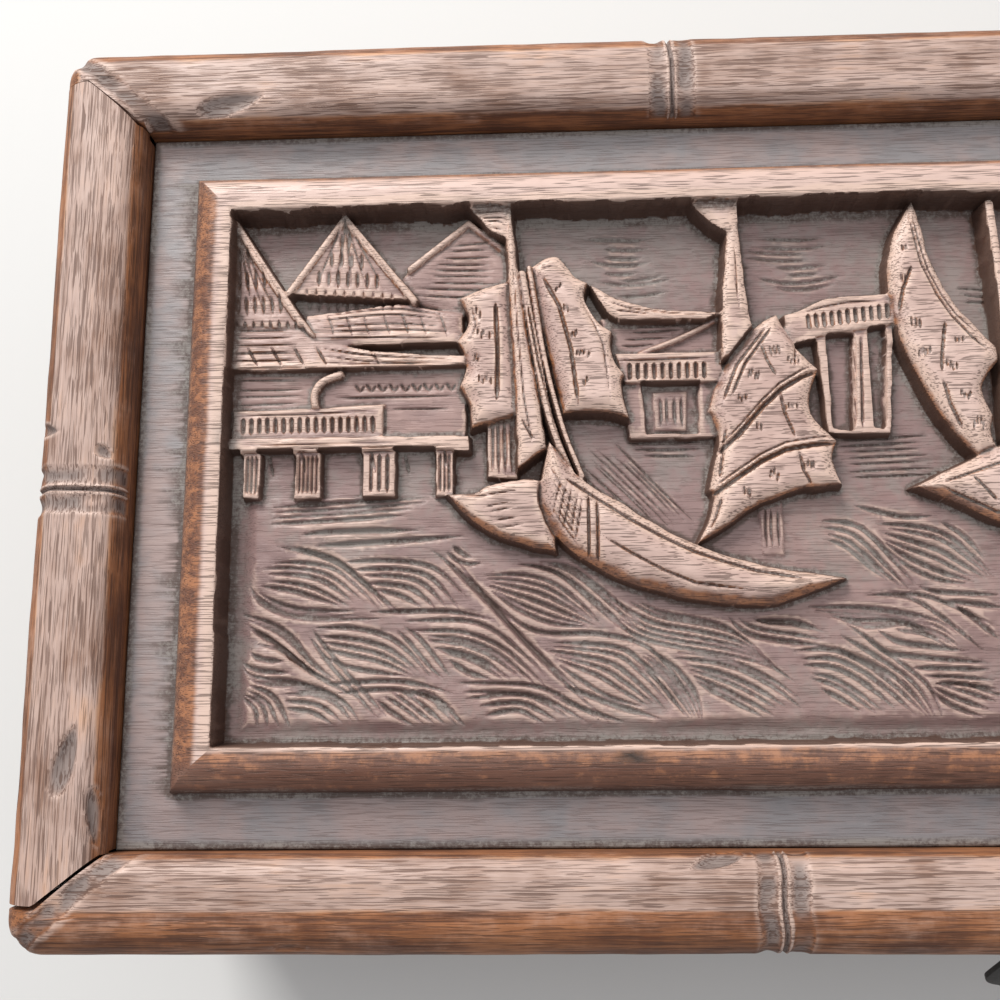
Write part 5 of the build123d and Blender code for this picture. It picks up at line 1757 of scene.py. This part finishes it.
@dataclass(frozen=True)
class EasedCopy:
    """A copy of one of the frame's parts with its sharp edges eased and marked as rubbed."""

    node: str
    body: Body
    slot: Slot
    ease_width: float = 0.3
    sharp: float = 35.0
    steps: int = 2

    def build(self, kit: Kit, finish: bpy.types.Material | None = None) -> bpy.types.Object:
        """Make the copy and let it stand for the node.

        Args:
            kit: places the piece.
            finish: a material other than the slot's usual one.

        Returns:
            The piece.
        """
        shape = bmesh.new()
        shape.from_mesh(kit.nodes[self.node].data)
        bmesh.ops.remove_doubles(shape, verts=shape.verts, dist=2e-6)
        bmesh.ops.dissolve_limit(
            shape, angle_limit=math.radians(1.0), verts=shape.verts, edges=shape.edges
        )
        edges = [
            e for e in shape.edges
            if len(e.link_faces) == 2 and e.calc_face_angle(0.0) > math.radians(self.sharp)
        ]
        plain = set(shape.faces)
        made = bmesh.ops.bevel(
            shape, geom=edges, offset=self.ease_width * MM, offset_type="OFFSET",
            segments=self.steps, profile=0.6, affect="EDGES", clamp_overlap=True,
        )
        worn = shape.faces.layers.float.new("worn")
        for face in made["faces"]:
            if face.is_valid and face not in plain:
                face[worn] = 0.85
        bmesh.ops.triangulate(shape, faces=[f for f in shape.faces if len(f.verts) > 4])
        bmesh.ops.recalc_face_normals(shape, faces=shape.faces)
        mesh = bpy.data.meshes.new(self.node + "_dressed")
        shape.to_mesh(mesh)
        shape.free()
        soften(mesh, 42)
        return kit.put(self.node + "_dressed", mesh, self.body, self.slot, [self.node], finish)


@dataclass(frozen=True)
class ScrewSet:
    """Slotted round-headed screws driven into the wood."""

    node: str
    body: Body
    slot: Slot
    places: tuple[Triple, ...]
    facing: Triple
    head_radius: float = 1.8
    dome: float = 0.28
    slot_half: float = 0.26
    slot_depth: float = 0.42
    shank: float = 1.0
    length: float = 6.5

    def _one(self, turn: float) -> tuple[list[Triple], list[list[int]]]:
        """One screw pointing down from the origin, its slot turned by an angle."""
        around = 40
        angles = np.linspace(0, math.tau, around, endpoint=False)
        places: list[Triple] = []
        for radius in (0.5, 1.0, 1.4, 1.62, 1.74, self.head_radius):
            lift = self.dome * (1 - (radius / self.head_radius) ** 2)
            for a in angles:
                x, y = radius * math.cos(a), radius * math.sin(a)
                sunk = abs(x * math.sin(turn) - y * math.cos(turn)) < self.slot_half
                places.append((x, y, lift - self.slot_depth * sunk))
        for radius, z in ((self.head_radius, -0.35), (self.shank, -0.9),
                          (self.shank, -self.length + 1.6), (0.12, -self.length)):
            places += [(radius * math.cos(a), radius * math.sin(a), z) for a in angles]
        return places, tube_faces(len(places) // around, around)

    def build(self, kit: Kit) -> None:
        """Make the set as one piece."""
        aim = Vector(self.facing).to_track_quat("Z", "Y").to_matrix()
        hand = np.random.default_rng(len(self.node))
        places: list[Triple] = []
        faces: list[list[int]] = []
        for spot in self.places:
            own, own_faces = self._one(hand.uniform(0, math.pi))
            faces += [[i + len(places) for i in f] for f in own_faces]
            places += [tuple(aim @ Vector(p) + Vector(spot)) for p in own]
        mesh = mesh_of(self.node + "_slotted", np.array(places), faces)
        soften(mesh, 35)
        kit.put(self.node + "_slotted", mesh, self.body, self.slot, [self.node])


@dataclass(frozen=True)
class StapleWire:
    """The staple's bent wire, its ends in the wall."""

    wall_y: float = -71.3
    tail: float = 6.0
    nose_y: float = -81.35
    middle_z: float = 70.6
    spread: float = 2.6
    radius: float = 0.9

    def build(self, kit: Kit) -> None:
        """Sweep the wire round its bends."""
        back, bend = self.wall_y + self.tail, self.nose_y + self.spread
        line = [(back, self.spread), (bend, self.spread)]
        for a in np.linspace(math.pi / 2, 3 * math.pi / 2, 14):
            line.append((bend + self.spread * math.cos(a), self.spread * math.sin(a)))
        line += [(bend, -self.spread), (back, -self.spread)]
        around = 16
        places: list[Triple] = []
        for index, (y, z) in enumerate(line):
            before, after = line[max(index - 1, 0)], line[min(index + 1, len(line) - 1)]
            run = math.atan2(after[1] - before[1], after[0] - before[0])
            for a in np.linspace(0, math.tau, around, endpoint=False):
                side, out = self.radius * math.cos(a), self.radius * math.sin(a)
                height = self.middle_z + z + out * math.cos(run)
                places.append((side, y - out * math.sin(run), height))
        mesh = mesh_of("staple_wire", np.array(places), tube_faces(len(line), around))
        soften(mesh, 50)
        kit.put("staple_wire", mesh, Body.CASE, Slot.DARK_METAL, ["staple"])


# sizes that the lid's rails and the base rails share
LONG_SIDE = {"reach": 76.0, "half_side": 162.5, "long": True}
SHORT_SIDE = {"reach": 162.5, "half_side": 76.0, "long": False}


@dataclass
class Lid:
    """The lid: carved plank in its four bamboo-form rails."""

    base: float = LID_BASE
    slits: tuple[Slit, ...] = tuple(
        Slit(place, 15.2, 62.8, 83.15, 71.857, 82.1, 2.45) for place in (-100.0, 100.0)
    )

    def rails(self) -> list[Rail]:
        """The four rails with the cuts that each one bears."""
        shared = {"base": self.base, "height": 16.0, "crown": 6.0, "inner": 4.0, "body": Body.LID}
        return [
            Rail("lid_rail_front", 0.0, **LONG_SIDE, **shared, nodes=(-44.5, 44.5), seed=61,
                 scoops=(Scoop(-54.0, 7.2, 9.0, 4.6, -158.0, 1.1),
                         Scoop(52.6, 6.0, 8.0, 4.0, 20.0, 0.9),
                         Scoop(-118.0, -6.5, 5.5, 2.2, 4.0, 0.4),
                         Scoop(101.0, 5.0, 7.0, 3.2, -24.0, 0.8)),
                 # the front rail's wide outer stain is partly painted shade on its front face
                 flat=(6.5, 10.9, 1.2), stain=(7.2, 0.6)),
            Rail("lid_rail_back", 180.0, **LONG_SIDE, **shared, nodes=(-56.0, 56.0), seed=67,
                 scoops=(Scoop(132.0, 4.6, 12.5, 5.6, 194.0, 1.2),
                         Scoop(-126.0, 4.0, 10.0, 4.4, -16.0, 1.0),
                         Scoop(-14.0, 5.4, 8.0, 3.4, 12.0, 0.7)),
                 stain=(3.4, 0.8)),
            Rail("lid_rail_left", -90.0, **SHORT_SIDE, **shared, nodes=(4.0,), seed=71,
                 scoops=(Scoop(46.6, 1.4, 11.5, 5.0, 166.0, 1.1),
                         Scoop(-6.4, -6.6, 6.5, 3.0, 80.0, 0.9),
                         Scoop(-2.2, 4.6, 3.6, 3.0, 60.0, 0.9),
                         Scoop(55.0, 6.6, 9.5, 3.6, 8.0, 0.9)),
                 gap=(-0.8, 0.9), stain=(2.6, 1.4)),
            Rail("lid_rail_right", 90.0, **SHORT_SIDE, **shared, nodes=(-4.0,), seed=73,
                 scoops=(Scoop(38.0, 2.0, 9.0, 4.2, 12.0, 0.9),
                         Scoop(-40.0, -3.6, 7.0, 3.2, 170.0, 0.7)),
                 gap=(0.5, 0.3), stain=(3.0, 1.2)),
        ]


@dataclass
class Case:
    """The case's base frame of lower bamboo-form rails."""

    def rails(self) -> list[Rail]:
        """The four base rails."""
        shared = {"base": 0.0, "height": 14.0, "crown": 3.6, "inner": 0.0, "body": Body.CASE,
                  "nodes_on_crown": False}
        return [
            Rail("base_rail_front", 0.0, **LONG_SIDE, **shared, nodes=(-44.5, 44.5), seed=81),
            Rail("base_rail_back", 180.0, **LONG_SIDE, **shared, nodes=(-56.0, 56.0), seed=83),
            Rail("base_rail_left", -90.0, **SHORT_SIDE, **shared, nodes=(4.0,), seed=87),
            Rail("base_rail_right", 90.0, **SHORT_SIDE, **shared, nodes=(-4.0,), seed=89),
        ]


@dataclass
class Metalwork:
    """Hinges, hasp and staple."""

    hinge_x: float = 100.0
    hinge_screw_half: float = 8.5
    hinge_screw_y: float = 66.257
    wall_top: float = 82.0
    lid_base: float = LID_BASE
    hinge_screw_sunk: float = 0.28
    hasp_screws: tuple[Triple, ...] = ((-4, -75.7, 90.1), (4, -75.7, 90.1))
    staple_screws: tuple[Triple, ...] = ((0, -72.2, 64.6), (0, -72.2, 76.6))

    def build(self, kit: Kit) -> None:
        """Dress the metal."""
        for side in ("left", "right"):
            EasedCopy(f"hinge_{side}_case_leaf", Body.CASE, Slot.BRASS, 0.12, 40).build(kit)
            EasedCopy(f"hinge_{side}_lid_leaf", Body.LID, Slot.BRASS, 0.12, 40).build(kit)
            EasedCopy(f"hinge_{side}_pin", Body.CASE, Slot.BRASS, 0.14, 40).build(kit)
        row = [hinge + step for hinge in (-self.hinge_x, self.hinge_x)
               for step in (-self.hinge_screw_half, self.hinge_screw_half)]
        low, high = self.wall_top - self.hinge_screw_sunk, self.lid_base + self.hinge_screw_sunk
        for node, body, height, up in (
            ("hinge_case_screws", Body.CASE, low, 1), ("hinge_lid_screws", Body.LID, high, -1)
        ):
            places = tuple((x, self.hinge_screw_y, height) for x in row)
            ScrewSet(node, body, Slot.BRASS, places, (0, 0, up)).build(kit)
        for node, body in (("hasp_leaf", Body.LID), ("hasp_pin", Body.LID),
                           ("hasp_strap", Body.HASP), ("staple_plate", Body.CASE)):
            EasedCopy(node, body, Slot.DARK_METAL, 0.14, 40).build(kit)
        for node, body, places in (
            ("hasp_screws", Body.LID, self.hasp_screws),
            ("staple_screws", Body.CASE, self.staple_screws),
        ):
            ScrewSet(node, body, Slot.DARK_METAL, places, (0, -1, 0)).build(kit)
        StapleWire().build(kit)


# ---------------------------------------------------------------- studio
@dataclass(frozen=True)
class Lamp:
    """A square soft lamp that faces the lid."""

    name: str
    place: Triple
    size: float
    power: float
    colour: Colour
    target: Triple = (0, 0, 0.09)

    def build(self) -> None:
        """Hang the lamp."""
        light = bpy.data.lights.new(self.name, "AREA")
        light.size, light.energy, light.color = self.size, self.power, self.colour
        stand = bpy.data.objects.new(self.name, light)
        aim = (Vector(self.target) - Vector(self.place)).to_track_quat("-Z", "Y")
        stand.matrix_world = Matrix.Translation(self.place) @ aim.to_matrix().to_4x4()
        bpy.context.scene.collection.objects.link(stand)


@dataclass(frozen=True)
class Studio:
    """Pale floor, soft lamps and the camera over the left of the lid."""

    eye: Triple = (-79.88, -40.39, 269.17)
    right: Triple = (0.99929, -0.00846, -0.03676)
    up: Triple = (0.01537, 0.98126, 0.19207)
    back: Triple = (0.03445, -0.19250, 0.98069)
    lens: float = 39.6
    floor_half: float = 3.0
    lamps: tuple[Lamp, ...] = (
        Lamp("window", (-0.5, 0.85, 0.75), 0.5, 13.5, (1.0, 0.98, 0.95)),
        Lamp("softbox", (-0.05, 0.15, 1.45), 1.1, 7.4, (1.0, 0.98, 0.96)),
    )
    room: Colour = (0.93, 0.95, 1.0)
    room_strength: float = 0.32

    def build(self) -> None:
        """Make the camera, the lamps, the world and the floor."""
        scene = bpy.context.scene
        scene.view_settings.view_transform = "Standard"
        lens = bpy.data.cameras.new("view")
        lens.lens, lens.sensor_width, lens.clip_start = self.lens, 36.0, 0.005
        camera = bpy.data.objects.new("view", lens)
        turn = Matrix((self.right, self.up, self.back)).transposed().to_4x4()
        camera.matrix_world = Matrix.Translation(Vector(self.eye) * MM) @ turn
        scene.collection.objects.link(camera)
        scene.camera = camera
        for lamp in self.lamps:
            lamp.build()
        world = bpy.data.worlds.new("room")
        scene.world = world
        world.use_nodes = True
        tree = world.node_tree
        tree.nodes.clear()
        sky = tree.nodes.new("ShaderNodeBackground")
        sky.inputs["Color"].default_value = (*self.room, 1.0)
        sky.inputs["Strength"].default_value = self.room_strength
        tree.links.new(sky.outputs[0], tree.nodes.new("ShaderNodeOutputWorld").inputs[0])
        half = self.floor_half
        mesh = bpy.data.meshes.new("floor")
        corners = [(-half, -half, 0), (half, -half, 0), (half, half, 0), (-half, half, 0)]
        mesh.from_pydata(corners, [], [(0, 1, 2, 3)])
        floor = bpy.data.objects.new("floor", mesh)
        scene.collection.objects.link(floor)
        mesh.materials.append(Paper().build())


def main() -> None:
    """Load the frame and build every piece on it."""
    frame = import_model()
    Studio().build()
    along_x = Wood("rail_wood_along_x", Grain.ALONG_X, *RAIL_TONES).build()
    along_y = Wood("rail_wood_along_y", Grain.ALONG_Y, *RAIL_TONES).build()
    wall_x = Wood("wall_wood_along_x", Grain.ALONG_X, *WALL_TONES).build()
    wall_y = Wood("wall_wood_along_y", Grain.ALONG_Y, *WALL_TONES).build()
    kit = Kit(frame["nodes"], {
        Slot.HARDWOOD: along_x,
        Slot.CARVED: Carving("carved_wood").build(),
        Slot.BRASS: Metal(
            "aged_brass", (0.72, 0.53, 0.24), (0.42, 0.3, 0.14), (0.16, 0.11, 0.06), 0.95, 0.32
        ).build(),
        Slot.DARK_METAL: Metal(
            "dark_iron", (0.2, 0.18, 0.16), (0.035, 0.032, 0.03), (0.02, 0.016, 0.013), 0.8, 0.42
        ).build(),
    })
    lid, case = Lid(), Case()
    for rail in [*lid.rails(), *case.rails()]:
        slots = lid.slits if rail.name == "lid_rail_back" else ()
        wood = along_x if rail.long else along_y
        mesh = rail.mesh(slots)
        kit.put(rail.name + "_gouged", mesh, rail.body, Slot.HARDWOOD, [rail.name], wood)
    CarvedBoard().build(kit)
    for node in ("wall_front", "wall_back", "bottom_board", "wall_left", "wall_right"):
        wood = wall_y if node in ("wall_left", "wall_right") else wall_x
        EasedCopy(node, Body.CASE, Slot.HARDWOOD, 0.35).build(kit, wood)
    Metalwork().build(kit)
    log.info("%d pieces", len(kit.made))


if __name__ == "__main__":
    logging.basicConfig(level=logging.INFO, format="%(name)s: %(message)s")
    main()
